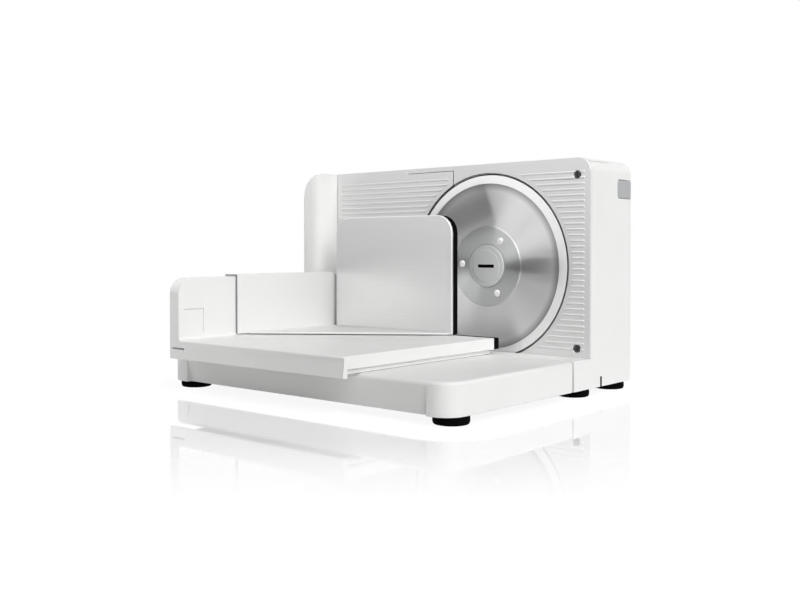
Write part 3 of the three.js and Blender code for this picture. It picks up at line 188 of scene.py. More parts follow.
def satin_sheet(name, colour, shade, crest=None):
    """Anodised sheet with rolling lines; a crest colour paints shade on the ribs' crests."""
    finish, tree, surface, place = new_finish(name)
    stretch = add(tree, "ShaderNodeMapping", {"Vector": place},
                  {"Scale": (per_mm(ROLLING_LENGTH), per_mm(ROLLING_WIDTH), per_mm(ROLLING_WIDTH))})
    lines = add(tree, "ShaderNodeTexNoise", {"Vector": stretch.outputs["Vector"]},
                {"Scale": 1.0, "Detail": 3.0})
    tone = add(tree, "ShaderNodeMix", {"Factor": lines.outputs["Fac"]},
               {"A": linear(colour), "B": linear(shade)}, data_type="RGBA")
    skin = tone.outputs["Result"]
    if crest:
        axes = add(tree, "ShaderNodeSeparateXYZ", {"Vector": place})
        rise = add(tree, "ShaderNodeMapRange", {"Value": axes.outputs["Y"]},
                   {"From Min": AXLE.y - CREST_FOOT * MM, "From Max": AXLE.y - CREST_TOP * MM})
        # The crests take a greyer colour: painted shade that keeps the ribs from glaring.
        painted_crest_shade = add(tree, "ShaderNodeMix", {"Factor": rise.outputs["Result"], "A": skin},
                     {"B": linear(crest)}, data_type="RGBA")
        skin = painted_crest_shade.outputs["Result"]
    gloss = add(tree, "ShaderNodeMapRange", {"Value": lines.outputs["Fac"]},
                {"To Min": SATIN_ROUGHNESS[0], "To Max": SATIN_ROUGHNESS[1]})
    grain = add(tree, "ShaderNodeBump", {"Height": lines.outputs["Fac"]},
                {"Strength": ROLLING_BUMP, "Distance": ROLLING_DEPTH * MM})
    shader = add(tree, "ShaderNodeBsdfPrincipled",
                 {"Base Color": skin, "Roughness": gloss.outputs["Result"],
                  "Normal": grain.outputs["Normal"]}, {"Metallic": 1.0})
    tree.links.new(shader.outputs["BSDF"], surface)
    print("finish:", name)
    return finish


silver_sheet = satin_sheet("satin_anodised_aluminium", "#F1F1F1", "#E9E9E9")
# The last colour is the painted shade on the rib crests.
ribbed_sheet = satin_sheet("ribbed_anodised_aluminium", "#E9E9E9", "#E1E1E1", "#DFDFDF")

# %% [markdown]
# ### Turned blade steel
# The blade is stainless steel brushed on a lathe. The scratches run in circles, so light spreads across
# them, outwards from the hub, and draws the bright and dark fans that the eye knows from a pan lid.
# Painting fans would be wrong as soon as the blade turned. The shader gets a strong anisotropy instead,
# with a tangent that points away from the axle, and rings of fine noise for the scratches themselves. In
# the last millimetres before the bevel the steel is painted darker, a painted shade for the dark ring that a
# dished rim would mirror.

# %% Turned blade steel
BLADE_STEEL = "#E6E6E7"
HUB_STEEL = "#CDCECF"
HUB_RADIUS = 37
HUB_EDGE = 0.5
RIM_PAINTED_SHADE = "#A2A2A3"
RIM_FROM = 70.5
RIM_TO = 77
SCRATCH_WIDTH = 0.6
SCRATCH_BUMP = 0.08
SCRATCH_DEPTH = 0.05
STEEL_ROUGHNESS = (0.35, 0.43)
DISC_PLANE = (1, 0, 1)

blade_steel, tree, surface, place = new_finish("turned_stainless_steel")
centred = add(tree, "ShaderNodeMapping", {"Vector": place}, {"Location": -AXLE})
radius = add(tree, "ShaderNodeVectorMath", {0: centred.outputs["Vector"]}, {1: DISC_PLANE},
             operation="MULTIPLY")
distance = add(tree, "ShaderNodeVectorMath", {0: radius.outputs["Vector"]}, operation="LENGTH")
scratches = add(tree, "ShaderNodeTexNoise", {"W": distance.outputs["Value"]},
                {"Scale": per_mm(SCRATCH_WIDTH), "Detail": 4.0, "Roughness": 0.7}, noise_dimensions="1D")
across = add(tree, "ShaderNodeVectorTransform", {"Vector": radius.outputs["Vector"]},
             vector_type="VECTOR", convert_from="OBJECT", convert_to="WORLD")
hub = add(tree, "ShaderNodeMapRange", {"Value": distance.outputs["Value"]},
          {"From Min": (HUB_RADIUS - HUB_EDGE) * MM, "From Max": (HUB_RADIUS + HUB_EDGE) * MM})
tone = add(tree, "ShaderNodeMix", {"Factor": hub.outputs["Result"]},
           {"A": linear(HUB_STEEL), "B": linear(BLADE_STEEL)}, data_type="RGBA")
# A ring just inside the bevel is painted darker: painted shade standing in for a dished rim's reflection.
rim = add(tree, "ShaderNodeMapRange", {"Value": distance.outputs["Value"]},
          {"From Min": RIM_FROM * MM, "From Max": RIM_TO * MM})
steel = add(tree, "ShaderNodeMix", {"Factor": rim.outputs["Result"], "A": tone.outputs["Result"]},
            {"B": linear(RIM_PAINTED_SHADE)}, data_type="RGBA")
gloss = add(tree, "ShaderNodeMapRange", {"Value": scratches.outputs["Fac"]},
            {"From Min": NOISE_LOW, "From Max": NOISE_HIGH,
             "To Min": STEEL_ROUGHNESS[0], "To Max": STEEL_ROUGHNESS[1]})
grain = add(tree, "ShaderNodeBump", {"Height": scratches.outputs["Fac"]},
            {"Strength": SCRATCH_BUMP, "Distance": SCRATCH_DEPTH * MM})
shader = add(tree, "ShaderNodeBsdfPrincipled",
             {"Base Color": steel.outputs["Result"], "Roughness": gloss.outputs["Result"],
              "Normal": grain.outputs["Normal"], "Tangent": across.outputs["Vector"]},
             {"Metallic": 1.0, "Anisotropic": 1.0})
tree.links.new(shader.outputs["BSDF"], surface)
print("finish:", blade_steel.name, "round", [round(c, 4) for c in AXLE])

# %% [markdown]
# ### Ground steel, plain steel and rivets
# The cutting bevel is the same steel but freshly ground, so it is lighter and duller in its reflection.
# Screws, pins and the motor's can are plain steel with a thin dark oxide skin, and the rivets are bright
# drawn aluminium. All three share one tree: colour, roughness, and a blotchy noise that keeps them from
# looking like plastic.

# %% Plain metals
BLOTCH_SIZE = 3
BLOTCH_DULLING = 0.12


def plain_metal(name, colour, shade, roughness):
    """A metal whose tone and roughness vary in small blotches."""
    finish, tree, surface, place = new_finish(name)
    blotch = add(tree, "ShaderNodeTexNoise", {"Vector": place}, {"Scale": per_mm(BLOTCH_SIZE), "Detail": 3.0})
    tone = add(tree, "ShaderNodeMix", {"Factor": blotch.outputs["Fac"]},
               {"A": linear(colour), "B": linear(shade)}, data_type="RGBA")
    gloss = add(tree, "ShaderNodeMapRange", {"Value": blotch.outputs["Fac"]},
                {"To Min": roughness, "To Max": roughness + BLOTCH_DULLING})
    shader = add(tree, "ShaderNodeBsdfPrincipled",
                 {"Base Color": tone.outputs["Result"], "Roughness": gloss.outputs["Result"]},
                 {"Metallic": 1.0})
    tree.links.new(shader.outputs["BSDF"], surface)
    print("finish:", name)
    return finish


ground_steel = plain_metal("ground_steel_bevel", "#FCFCFC", "#F4F4F4", 0.4)
oxide_steel = plain_metal("dark_oxide_steel", "#5B5C5E", "#4E4F51", 0.4)
bright_alloy = plain_metal("drawn_aluminium_rivet", "#FFFFFF", "#F6F6F6", 0.3)

# %% [markdown]
# ### Coloured plastics and rubber
# Lock, dial, button and bottom cover are grey ABS with a spark-eroded satin skin; the strip, the backing
# of the pressing plate and the inner slides are black; the gears are natural nylon, which is slightly
# waxy. Rubber has the coarsest and dullest skin. One tree serves them: a fine grain raises the bump and
# breaks the gloss, and its size tells the eye which of them it is.

# %% Coloured plastics and rubber
GRAIN_BUMP = 0.2
GRAIN_GLOSS = 0.05


def grained_plastic(name, colour, shade, roughness, grain_size, depth, specular):
    """A moulded skin: grain of the given size in mm moves the tone, the gloss and the bump."""
    finish, tree, surface, place = new_finish(name)
    skin = add(tree, "ShaderNodeTexNoise", {"Vector": place}, {"Scale": per_mm(grain_size), "Detail": 2.0})
    tone = add(tree, "ShaderNodeMix", {"Factor": skin.outputs["Fac"]},
               {"A": linear(colour), "B": linear(shade)}, data_type="RGBA")
    gloss = add(tree, "ShaderNodeMapRange", {"Value": skin.outputs["Fac"]},
                {"To Min": roughness - GRAIN_GLOSS, "To Max": roughness + GRAIN_GLOSS})
    bump = add(tree, "ShaderNodeBump", {"Height": skin.outputs["Fac"]},
               {"Strength": GRAIN_BUMP, "Distance": depth * MM})
    shader = add(tree, "ShaderNodeBsdfPrincipled",
                 {"Base Color": tone.outputs["Result"], "Roughness": gloss.outputs["Result"],
                  "Normal": bump.outputs["Normal"]}, {"IOR": ABS_IOR, "Specular IOR Level": specular})
    tree.links.new(shader.outputs["BSDF"], surface)
    print("finish:", name)
    return finish


grey_abs = grained_plastic("grey_abs_satin", "#C3C4C6", "#BABBBD", 0.45, 0.6, 0.05, 0.5)
knob_abs = grained_plastic("light_grey_abs_satin", "#E2E3E4", "#DADBDC", 0.45, 0.6, 0.05, 0.5)
key_abs = grained_plastic("mid_grey_abs_satin", "#AEAFB1", "#A6A7A9", 0.45, 0.6, 0.05, 0.5)
# Mid grey painted onto the holder's front end, as painted shade.
end_shade_abs = grained_plastic("white_abs_painted_end_shade", "#8E8E8F", "#868687", 0.6, 0.6, 0.05, 0.3)
black_abs = grained_plastic("black_abs_matt", "#050505", "#090909", 0.65, 0.6, 0.05, 0.03)
gear_nylon = grained_plastic("natural_nylon_gear", "#DAD5C6", "#CFC9B8", 0.4, 1.5, 0.05, 0.5)
foot_rubber = grained_plastic("black_rubber", "#060606", "#0B0B0B", 0.85, 1.0, 0.15, 0.03)

# %% [markdown]
# ## World and table
# The slicer stands on a pale table that runs out into a white page. More light could make the page white,
# but it would bleach the machine too. So the world and the table add what is missing up to white only for
# rays that come from the camera, a reflection or glass, and a share of the table's own shading keeps a soft
# shadow. Far away the table turns to plain page, which hides where it ends.

# %% World
AMBIENT = 0.23
WHITE = (1, 1, 1, 1)


def viewing_rays(tree):
    """A socket that is 1 for rays from the camera, a reflection or glass, and 0 for those that light."""
    rays = add(tree, "ShaderNodeLightPath")
    seen = add(tree, "ShaderNodeMath", {0: rays.outputs["Is Camera Ray"], 1: rays.outputs["Is Glossy Ray"]},
               operation="ADD")
    shown = add(tree, "ShaderNodeMath", {0: seen.outputs["Value"], 1: rays.outputs["Is Transmission Ray"]},
                operation="ADD", use_clamp=True)
    return shown.outputs["Value"]


world = bpy.data.worlds.new("studio")
scene.world = world
world.use_nodes = True
tree = world.node_tree
tree.nodes.clear()
ambient = add(tree, "ShaderNodeBackground", None, {"Color": WHITE, "Strength": AMBIENT})
page = add(tree, "ShaderNodeBackground", None, {"Color": WHITE, "Strength": 1.0})
mixed = add(tree, "ShaderNodeMixShader", {0: viewing_rays(tree), 1: ambient.outputs["Background"],
                                          2: page.outputs["Background"]})
add(tree, "ShaderNodeOutputWorld", {"Surface": mixed.outputs["Shader"]})
scene.view_settings.view_transform = "Standard"
print("world: ambient", AMBIENT)

# %% Table finish, the page
FLOOR_COLOUR = "#E6E6E6"
FLOOR_SHADED = "#626262"
FLOOR_LIFT = 0.91
PAGE_NEAR = 0.6
PAGE_FAR = 1.6

floor_finish, tree, surface, place = new_finish("pale_polished_table")
matte = add(tree, "ShaderNodeBsdfDiffuse", None, {"Color": linear(FLOOR_COLOUR)})
shaded = add(tree, "ShaderNodeBsdfDiffuse", None, {"Color": linear(FLOOR_SHADED)})
glow = add(tree, "ShaderNodeEmission", None, {"Strength": FLOOR_LIFT})
lifted = add(tree, "ShaderNodeAddShader", {0: glow.outputs["Emission"], 1: shaded.outputs["BSDF"]})
reach = add(tree, "ShaderNodeVectorMath", {0: place}, operation="LENGTH")
away = add(tree, "ShaderNodeMapRange", {"Value": reach.outputs["Value"]},
           {"From Min": PAGE_NEAR, "From Max": PAGE_FAR})
paper = add(tree, "ShaderNodeEmission", None, {"Strength": 1.0})
top = add(tree, "ShaderNodeMixShader", {0: away.outputs["Result"], 1: lifted.outputs["Shader"],
                                        2: paper.outputs["Emission"]})
print("page: from", PAGE_NEAR, "to", PAGE_FAR, "m")

# %% [markdown]
# ### The table's polish
# In the photograph the table mirrors the front of the machine, and the image runs out softly. A table that
# is glossy all over would do that without end, and would mirror the studio too. So the polish is a round
# patch in front of the machine. It fades towards the table's front edge, and under and beside the machine,
# where feet and hands have dulled it. Fresnel makes it stronger at a flat angle, as on any polished top.

# %% Table finish, the polish
TABLE_FRONT = (0.652, -0.758, 0)
POLISH_FULL = 0.25
POLISH_END = 0.40
SHEEN_CENTRE = (0.22, -0.22, 0)
SHEEN_FULL = 0.30
SHEEN_END = 0.36
FOOTPRINT = (0.1635, 0.139)
FOOTPRINT_CENTRE = (0, 0.002)
DULL_MARGIN = 0.040
DULL_FADE = 0.006
POLISH_IOR = 2.4
POLISH_ROUGHNESS = 0.03

forward = add(tree, "ShaderNodeVectorMath", {0: place}, {1: TABLE_FRONT}, operation="DOT_PRODUCT")
fading = add(tree, "ShaderNodeMapRange", {"Value": forward.outputs["Value"]},
             {"From Min": POLISH_END, "From Max": POLISH_FULL})
around = add(tree, "ShaderNodeVectorMath", {0: place}, {1: SHEEN_CENTRE}, operation="DISTANCE")
sheen = add(tree, "ShaderNodeMapRange", {"Value": around.outputs["Value"]},
            {"From Min": SHEEN_END, "From Max": SHEEN_FULL})
flat = add(tree, "ShaderNodeVectorMath", {0: place}, {1: (*FOOTPRINT_CENTRE, 0)}, operation="SUBTRACT")
mirrored = add(tree, "ShaderNodeVectorMath", {0: flat.outputs["Vector"]}, operation="ABSOLUTE")
beside = add(tree, "ShaderNodeVectorMath", {0: mirrored.outputs["Vector"]}, {1: (*FOOTPRINT, 1)},
             operation="SUBTRACT")
outside = add(tree, "ShaderNodeVectorMath", {0: beside.outputs["Vector"]}, {1: (0, 0, 0)},
              operation="MAXIMUM")
margin = add(tree, "ShaderNodeVectorMath", {0: outside.outputs["Vector"]}, operation="LENGTH")
clear = add(tree, "ShaderNodeMapRange", {"Value": margin.outputs["Value"]},
            {"From Min": DULL_MARGIN, "From Max": DULL_MARGIN + DULL_FADE})
grazing = add(tree, "ShaderNodeFresnel", None, {"IOR": POLISH_IOR})
near = add(tree, "ShaderNodeMath", {0: fading.outputs["Result"], 1: sheen.outputs["Result"]},
           operation="MULTIPLY")
kept = add(tree, "ShaderNodeMath", {0: near.outputs["Value"], 1: clear.outputs["Result"]},
           operation="MULTIPLY")
share = add(tree, "ShaderNodeMath", {0: kept.outputs["Value"], 1: grazing.outputs["Fac"]},
            operation="MULTIPLY")
polish = add(tree, "ShaderNodeBsdfGlossy", None, {"Color": WHITE, "Roughness": POLISH_ROUGHNESS})
table = add(tree, "ShaderNodeMixShader", {0: share.outputs["Value"], 1: top.outputs["Shader"],
                                          2: polish.outputs["BSDF"]})
both = add(tree, "ShaderNodeMixShader", {0: viewing_rays(tree), 1: matte.outputs["BSDF"],
                                         2: table.outputs["Shader"]})
tree.links.new(both.outputs["Shader"], surface)
print("finish:", floor_finish.name, "polish ends", POLISH_END, "m in front of the middle")

# %% Table
FLOOR_SIZE = 12

mesh = bmesh.new()
bmesh.ops.create_grid(mesh, x_segments=1, y_segments=1, size=FLOOR_SIZE / 2)
floor_data = bpy.data.meshes.new("studio_floor")
mesh.to_mesh(floor_data)
mesh.free()
floor_data.materials.append(floor_finish)
studio_floor = bpy.data.objects.new("studio_floor", floor_data)
scene.collection.objects.link(studio_floor)
print("floor:", FLOOR_SIZE, "m square")

# %% [markdown]
# ### Lamps
# The light of the photograph comes from a large window on the right. A low one beside it lights what faces
# the right without showing in the metal, another behind keeps the back from going dull, and a smaller lamp
# stands close to the column on the left, because the column's front is brighter than the apron although
# both face the same way. Sun lamps are used for the windows: they do not fall off, so the floor stays even
# to its edge, and a wide angle gives soft shadows. The near lamp has to fall off, so it is an area lamp.

# %% Lamps
def sun(name, towards, strength, angle, mirrored=True):
    """A broad even lamp: towards points from the slicer to the lamp, angle is its size in the sky."""
    lamp = bpy.data.lights.new(name, "SUN")
    lamp.energy = strength
    lamp.angle = radians(angle)
    holder = bpy.data.objects.new(name, lamp)
    holder.rotation_euler = (-Vector(towards)).to_track_quat("-Z", "Y").to_euler()
    holder.visible_glossy = mirrored
    scene.collection.objects.link(holder)
    print("lamp:", name, strength)


def near_lamp(name, place, aim, size, watts):
    """A square softbox at a place, turned to a point."""
    lamp = bpy.data.lights.new(name, "AREA")
    lamp.energy = watts
    lamp.size = size
    holder = bpy.data.objects.new(name, lamp)
    holder.location = place
    holder.rotation_euler = (Vector(aim) - Vector(place)).to_track_quat("-Z", "Y").to_euler()
    holder.visible_camera = False
    holder.visible_glossy = False
    scene.collection.objects.link(holder)
    print("lamp:", name, watts, "W")


sun("window_right", (0.73, -0.19, 0.65), 2.25, 40)
sun("window_low", (0.82, -0.52, 0.12), 0.32, 30, mirrored=False)
sun("window_back", (-0.2, 0.95, 0.15), 0.9, 40, mirrored=False)
near_lamp("softbox_left", (-0.32, -0.22, 0.27), (-0.14, 0.05, 0.15), 0.22, 0.33)

# %% [markdown]
# ### Cards
# Metal has no colour of its own, only what it mirrors. In an all-white room the blade would be flat white,
# so a photographer stands boards round it. A long black flag level with the axle gives the dark fans to the
# left and right, and a softbox overhead gives the light ones above and below. Two small flags held close to
# the blade deepen its upper left shoulder and the right fan. The boards are seen by reflections only: they
# give no light to the white parts and no shadow. The long flag lets short rays pass and the small flags
# long ones, so that the table does not mirror them.

# %% Cards
ROOM = 5


def card(name, offset, facing, size, strength, roll=0, nearest=0, furthest=ROOM):
    """A board for reflections only, seen between two distances: black at strength 0, else a softbox."""
    finish, tree, surface, _ = new_finish(name)
    glow = add(tree, "ShaderNodeEmission", None, {"Strength": strength})
    rays = add(tree, "ShaderNodeLightPath")
    far = add(tree, "ShaderNodeMath", {0: rays.outputs["Ray Length"]}, {1: nearest}, operation="GREATER_THAN")
    near = add(tree, "ShaderNodeMath", {0: rays.outputs["Ray Length"]}, {1: furthest}, operation="LESS_THAN")
    within = add(tree, "ShaderNodeMath", {0: far.outputs["Value"], 1: near.outputs["Value"]},
                 operation="MULTIPLY")
    gone = add(tree, "ShaderNodeBsdfTransparent")
    shown = add(tree, "ShaderNodeMixShader", {0: within.outputs["Value"], 1: gone.outputs["BSDF"],
                                              2: glow.outputs["Emission"]})
    tree.links.new(shown.outputs["Shader"], surface)
    mesh = bmesh.new()
    bmesh.ops.create_grid(mesh, x_segments=1, y_segments=1, size=0.5)
    bmesh.ops.scale(mesh, vec=(*size, 1), verts=mesh.verts)
    turn = Vector(facing).to_track_quat("Z", "Y").to_matrix().to_4x4()
    tilt = Matrix.Rotation(radians(roll), 4, "Z")
    place = Matrix.Translation(AXLE + Vector(offset))
    bmesh.ops.transform(mesh, matrix=place @ (turn @ tilt), verts=mesh.verts)
    data = bpy.data.meshes.new(name)
    mesh.to_mesh(data)
    mesh.free()
    data.materials.append(finish)
    board = bpy.data.objects.new(name, data)
    scene.collection.objects.link(board)
    board.visible_camera = False
    board.visible_diffuse = False
    board.visible_shadow = False
    print("card:", name, strength)


card("flag_level", (-0.40, -0.574, -0.012), (-0.573, -0.82, 0), (1.6, 0.14), 0.0, -4, nearest=0.58)
card("flag_near", (-0.040, -0.015, 0.047), (0, -1, 0), (0.075, 0.040), 0.2, 25, furthest=0.12)
card("flag_side", (0.056, -0.024, 0.0), (0, -1, 0), (0.034, 0.020), 0.15, furthest=0.12)
card("softbox_top", (-0.045, -0.62, 0.65), (-0.05, -0.69, 0.72), (0.5, 0.5), 2.1)

# %% [markdown]
# ## From solids to mouldings
# The solids have sharp arrises, and no moulded or stamped part has: a small radius catches the light as a
# thin bright line, which is most of what makes a plain shape look real. A bevel modifier on the loose
# triangles would do nothing, so each piece is a copy of its solid: the triangles are merged, flat faces
# are joined again, and the bevel operator then rounds the sharp edges. Weighted normals keep the large
# faces flat in the shading.

# %% Measuring and copying solids
FLAT = radians(1)
SHARP = radians(35)
SAME_POINT = 1e-6
CLOSE = 0.1 * MM


def measured(node):
    """A solid's lowest corner, its highest corner and its middle."""
    low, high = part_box(node)
    return low, high, (low + high) / 2


def solid_copy(node):
    """A bmesh copy of a solid, with its triangles merged and its flat faces joined."""
    mesh = bmesh.new()
    mesh.from_mesh(frame["nodes"][node].data)
    bmesh.ops.remove_doubles(mesh, verts=mesh.verts, dist=SAME_POINT)
    bmesh.ops.dissolve_limit(mesh, angle_limit=FLAT, verts=mesh.verts, edges=mesh.edges)
    print("copied", node, "as", len(mesh.faces), "faces")
    return mesh


# %% Rounding edges
SPARE_ROOM = 1.1


def sharp_edges(mesh, least=SHARP, where=None, hollow=False):
    """Outer edges, or inner ones, at which the faces turn by more than an angle and a test holds."""
    found = []
    for edge in mesh.edges:
        if len(edge.link_faces) != 2:
            continue
        bend = edge.calc_face_angle_signed()
        if (-bend if hollow else bend) < least:
            continue
        if where is None or where((edge.verts[0].co + edge.verts[1].co) / 2):
            found.append(edge)
    return found


def bite(edge, vert, chosen, size):
    """How much rounding the chosen edges takes off one end of an edge."""
    others = [near for near in vert.link_edges if near in chosen and near is not edge]
    if not others:
        return 0
    if edge not in chosen or len(others) > 1:
        return size
    ahead = edge.other_vert(vert).co - vert.co
    behind = vert.co - others[0].other_vert(vert).co
    return size * tan(ahead.angle(behind) / 2)


def round_off(mesh, edges, size, segments=2):
    """Rounds edges by a radius in mm, apart from those beside a detail that is too small for it."""
    chosen = set(edges)
    free = []
    for edge in edges:
        beside = [near for vert in edge.verts for near in vert.link_edges]
        needed = [sum(bite(near, end, chosen, size * MM) for end in near.verts) for near in beside]
        if all(near.calc_length() > SPARE_ROOM * need for near, need in zip(beside, needed)):
            free.append(edge)
    bmesh.ops.bevel(mesh, geom=free, offset=size * MM, offset_type="OFFSET", affect="EDGES",
                    segments=segments, profile=0.5, material=-1, clamp_overlap=False, loop_slide=True)
    print("rounded", len(free), "of", len(edges), "edges by", size, "mm")


# %% Second finishes and small blocks
def paint(mesh, index, where):
    """Gives the faces whose middle and normal pass a test another finish of their piece."""
    mesh.normal_update()
    faces = [face for face in mesh.faces if where(face.calc_center_median(), face.normal)]
    for face in faces:
        face.material_index = index
    print("painted", len(faces), "faces")


def bar(mesh, place, size, turn, index):
    """Adds a small block: size in mm along X, Y and Z, turned about Y by an angle in degrees."""
    shape = Matrix.Diagonal(Vector(size) * MM).to_4x4()
    matrix = Matrix.Translation(place) @ Matrix.Rotation(radians(turn), 4, "Y") @ shape
    made = bmesh.ops.create_cube(mesh, size=1, matrix=matrix)["verts"]
    for face in {face for vert in made for face in vert.link_faces}:
        face.material_index = index


# %% Setting a piece on its body
def set_piece(mesh, name, finishes, body, slot, *nodes):
    """Makes the object, shades it, and lets it ride on its body in place of its solids."""
    data = bpy.data.meshes.new(name)
    mesh.to_mesh(data)
    mesh.free()
    for finish in finishes:
        data.materials.append(finish)
    data.polygons.foreach_set("use_smooth", [True] * len(data.polygons))
    data.set_sharp_from_angle(angle=SHARP)
    made = bpy.data.objects.new(name, data)
    scene.collection.objects.link(made)
    made.modifiers.new("even_shading", "WEIGHTED_NORMAL").keep_sharp = True
    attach(made, body)
    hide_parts(*nodes)
    print("piece:", name, len(data.polygons), "faces on", body)
    return made


# %% [markdown]
# ### Casing
# The casing is one deep moulding. Its edges get a radius of 0.6 mm. The inside of the small drain notch low on
# its right side is painted black, a painted shade for its dark slit, and a scale of short bars round the dial
# shows the slice in millimetres. Printed marks would need an image, and such scales are mostly moulded anyway,
# so the bars are raised by a quarter of a millimetre: sixteen of them, every fifth one longer.

# %% Casing
DIAL_STEPS = 15
DIAL_TURN = 300
SCALE_RADIUS = 27.5
TICK = 3
LONG_TICK = 5
TICK_WIDTH = 0.7
TICK_HEIGHT = 0.3
TICK_MIDDLE = 0.1
CASING_ROUND = 0.6
NOTCH_DEPTH = 1.2
NOTCH_TOP = 9.5
NOTCH_FROM = AXLE.y + 17 * MM
NOTCH_TO = AXLE.y + 22 * MM

casing = solid_copy("housing_shell")
low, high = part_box("housing_shell")
round_off(casing, sharp_edges(casing), CASING_ROUND)
notch_floor = high.x - NOTCH_DEPTH * MM
# The notch's faces take the black finish: painted shade for the slit.
paint(casing, 1, lambda spot, out: notch_floor - CLOSE < spot.x < high.x - CLOSE
      and NOTCH_FROM < spot.y < NOTCH_TO and low.z + MM < spot.z < low.z + NOTCH_TOP * MM)
_, dial_high, dial_centre = measured("thickness_dial")
for step in range(DIAL_STEPS + 1):
    turn = step * DIAL_TURN / DIAL_STEPS
    length = TICK if step % 5 else LONG_TICK
    outward = Vector((sin(radians(turn)), 0, cos(radians(turn)))) * (SCALE_RADIUS + length / 2) * MM
    spot = Vector((dial_centre.x, high.y + TICK_MIDDLE * MM, dial_centre.z)) + outward
    bar(casing, spot, (TICK_WIDTH, TICK_HEIGHT, length), turn, 2)
set_piece(casing, "casing", [white_abs, black_abs, grey_abs], "housing", "white_plastic", "housing_shell")

# %% [markdown]
# ### Hinged base
# The base is a tray turned upside down, with a sloping front and round corners. It could be modelled anew,
# but those forms are in the solid already, so only its arrises are rounded.

# %% Hinged base
hinged_base = solid_copy("base")
round_off(hinged_base, sharp_edges(hinged_base), CASING_ROUND)
set_piece(hinged_base, "hinged_base", [white_abs], "base", "white_plastic", "base")

# %% [markdown]
# ### Food carriage
# Tray, apron and upright wall are one moulding. Where the wall meets the tray the tool leaves a fillet,
# and the front outline of the wall and tray has a generous round that shows as a bright line. The fillet
# comes first, because the round then follows it; the small arrises come last, so that they cannot take
# the room of the larger ones.

# %% Food carriage
FILLET = 2.4
FRONT_ROUND = 1.5
SMALL_ROUND = 0.5

food_carriage = solid_copy("carriage")
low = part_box("carriage")[0]
tray_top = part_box("carriage_strip")[1].z
inner = sharp_edges(food_carriage, hollow=True, where=lambda spot: abs(spot.z - tray_top) < CLOSE)
round_off(food_carriage, inner, FILLET, 4)
outline = sharp_edges(food_carriage, where=lambda spot: spot.y < low.y + CLOSE and spot.z > tray_top - MM)
round_off(food_carriage, outline, FRONT_ROUND, 4)
round_off(food_carriage, sharp_edges(food_carriage), SMALL_ROUND)
print("carriage:", len(inner), "inner edges,", len(outline), "front edges")
set_piece(food_carriage, "food_carriage", [white_abs], "carriage", "white_plastic", "carriage")

# %% [markdown]
# ### Holder arm
# The holder hangs over the carriage's wall like a saddle. The faces of its front end are painted a mid grey,
# a painted shade for the dark that falls on that narrow end. A second piece could be laid on that end; a
# second finish on its faces keeps the arm one moulding.

# %% Holder arm
ARM_ROUND = 0.4
FACING = 0.9

holder_arm = solid_copy("holder_saddle")
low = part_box("holder_saddle")[0]
round_off(holder_arm, sharp_edges(holder_arm), ARM_ROUND)
# Front end faces that face the food side get the grey: painted shade.
paint(holder_arm, 1, lambda spot, out: out.y < -FACING and spot.y < low.y + MM)
set_piece(holder_arm, "holder_arm", [white_abs, end_shade_abs], "holder", "white_plastic", "holder_saddle")

# %% [markdown]
# ### Silver plates
# Panel and stop plate are pressed from one kind of sheet, with rolled ribs along which the food slides. A
# bump in the finish could draw the ribs, but it would have no outline. They are in the solids; a fine round
# on each makes them soft. The pressing plate is thicker and has a rolled edge of 0.8 mm. It stands so close
# to the blade and the ribs that they would show it as a dark patch, which the photograph's light does not,
# so it is kept out of reflections and throws no bounced light.

# %% Silver plates
RIB_BEND = radians(25)
RIB_ROUND = 0.4
PLATE_ROUND = 0.8

blade_panel = solid_copy("front_panel")
round_off(blade_panel, sharp_edges(blade_panel, RIB_BEND), RIB_ROUND, 3)
set_piece(blade_panel, "blade_panel", [ribbed_sheet], "housing", "silver_sheet", "front_panel")
stop_plate = solid_copy("gauge_plate")
round_off(stop_plate, sharp_edges(stop_plate, RIB_BEND), RIB_ROUND, 3)
set_piece(stop_plate, "stop_plate", [ribbed_sheet], "gauge", "silver_sheet", "gauge_plate")
press_plate = solid_copy("pressing_plate")
round_off(press_plate, sharp_edges(press_plate), PLATE_ROUND, 3)
press = set_piece(press_plate, "press_plate", [silver_sheet], "holder", "silver_sheet", "pressing_plate")
press.visible_diffuse = False
press.visible_glossy = False

# %% [markdown]
# ### Round parts
# Blade, rivets, screws, feet and grommet are turned or moulded round. A cylinder would have to be cut and
# bevelled for each step of its outline, so they are made as on a lathe: a line of points, given as radius
# and height in millimetres, is spun a full turn about its axis.

# %% Lathe
FULL_TURN = radians(360)
FOOD_SIDE = (0, -1, 0)
BACK = (0, 1, 0)
UP = (0, 0, 1)
DOWN = (0, 0, -1)
SEAM = 1e-7


def turn_from_up(towards):
    """The turn from straight up to a direction."""
    return Vector(UP).rotation_difference(Vector(towards)).to_matrix().to_4x4()


def turned(profile, place, towards, steps=64):
    """Spins points of (radius, height) in mm; heights grow from the place towards a direction."""
    mesh = bmesh.new()
    points = [mesh.verts.new((r * MM, 0, h * MM)) for r, h in profile]
    lines = [mesh.edges.new(pair) for pair in zip(points, points[1:])]
    bmesh.ops.spin(mesh, geom=points + lines, cent=(0, 0, 0), axis=UP, angle=FULL_TURN,
                   steps=steps, use_merge=True)
    bmesh.ops.remove_doubles(mesh, verts=mesh.verts, dist=SEAM)
    bmesh.ops.recalc_face_normals(mesh, faces=mesh.faces)
    bmesh.ops.transform(mesh, matrix=Matrix.Translation(place) @ turn_from_up(towards), verts=mesh.verts)
    print("turned:", len(profile), "points,", steps, "steps")
    return mesh


# %% [markdown]
# ### Blade
# A disc of 170 mm with a raised ring round the hub and a ground cutting bevel. A fine groove parts the
# bevel from the brushed face. The edge itself is 0.2 mm round: a true knife edge would have no width to
# catch light.

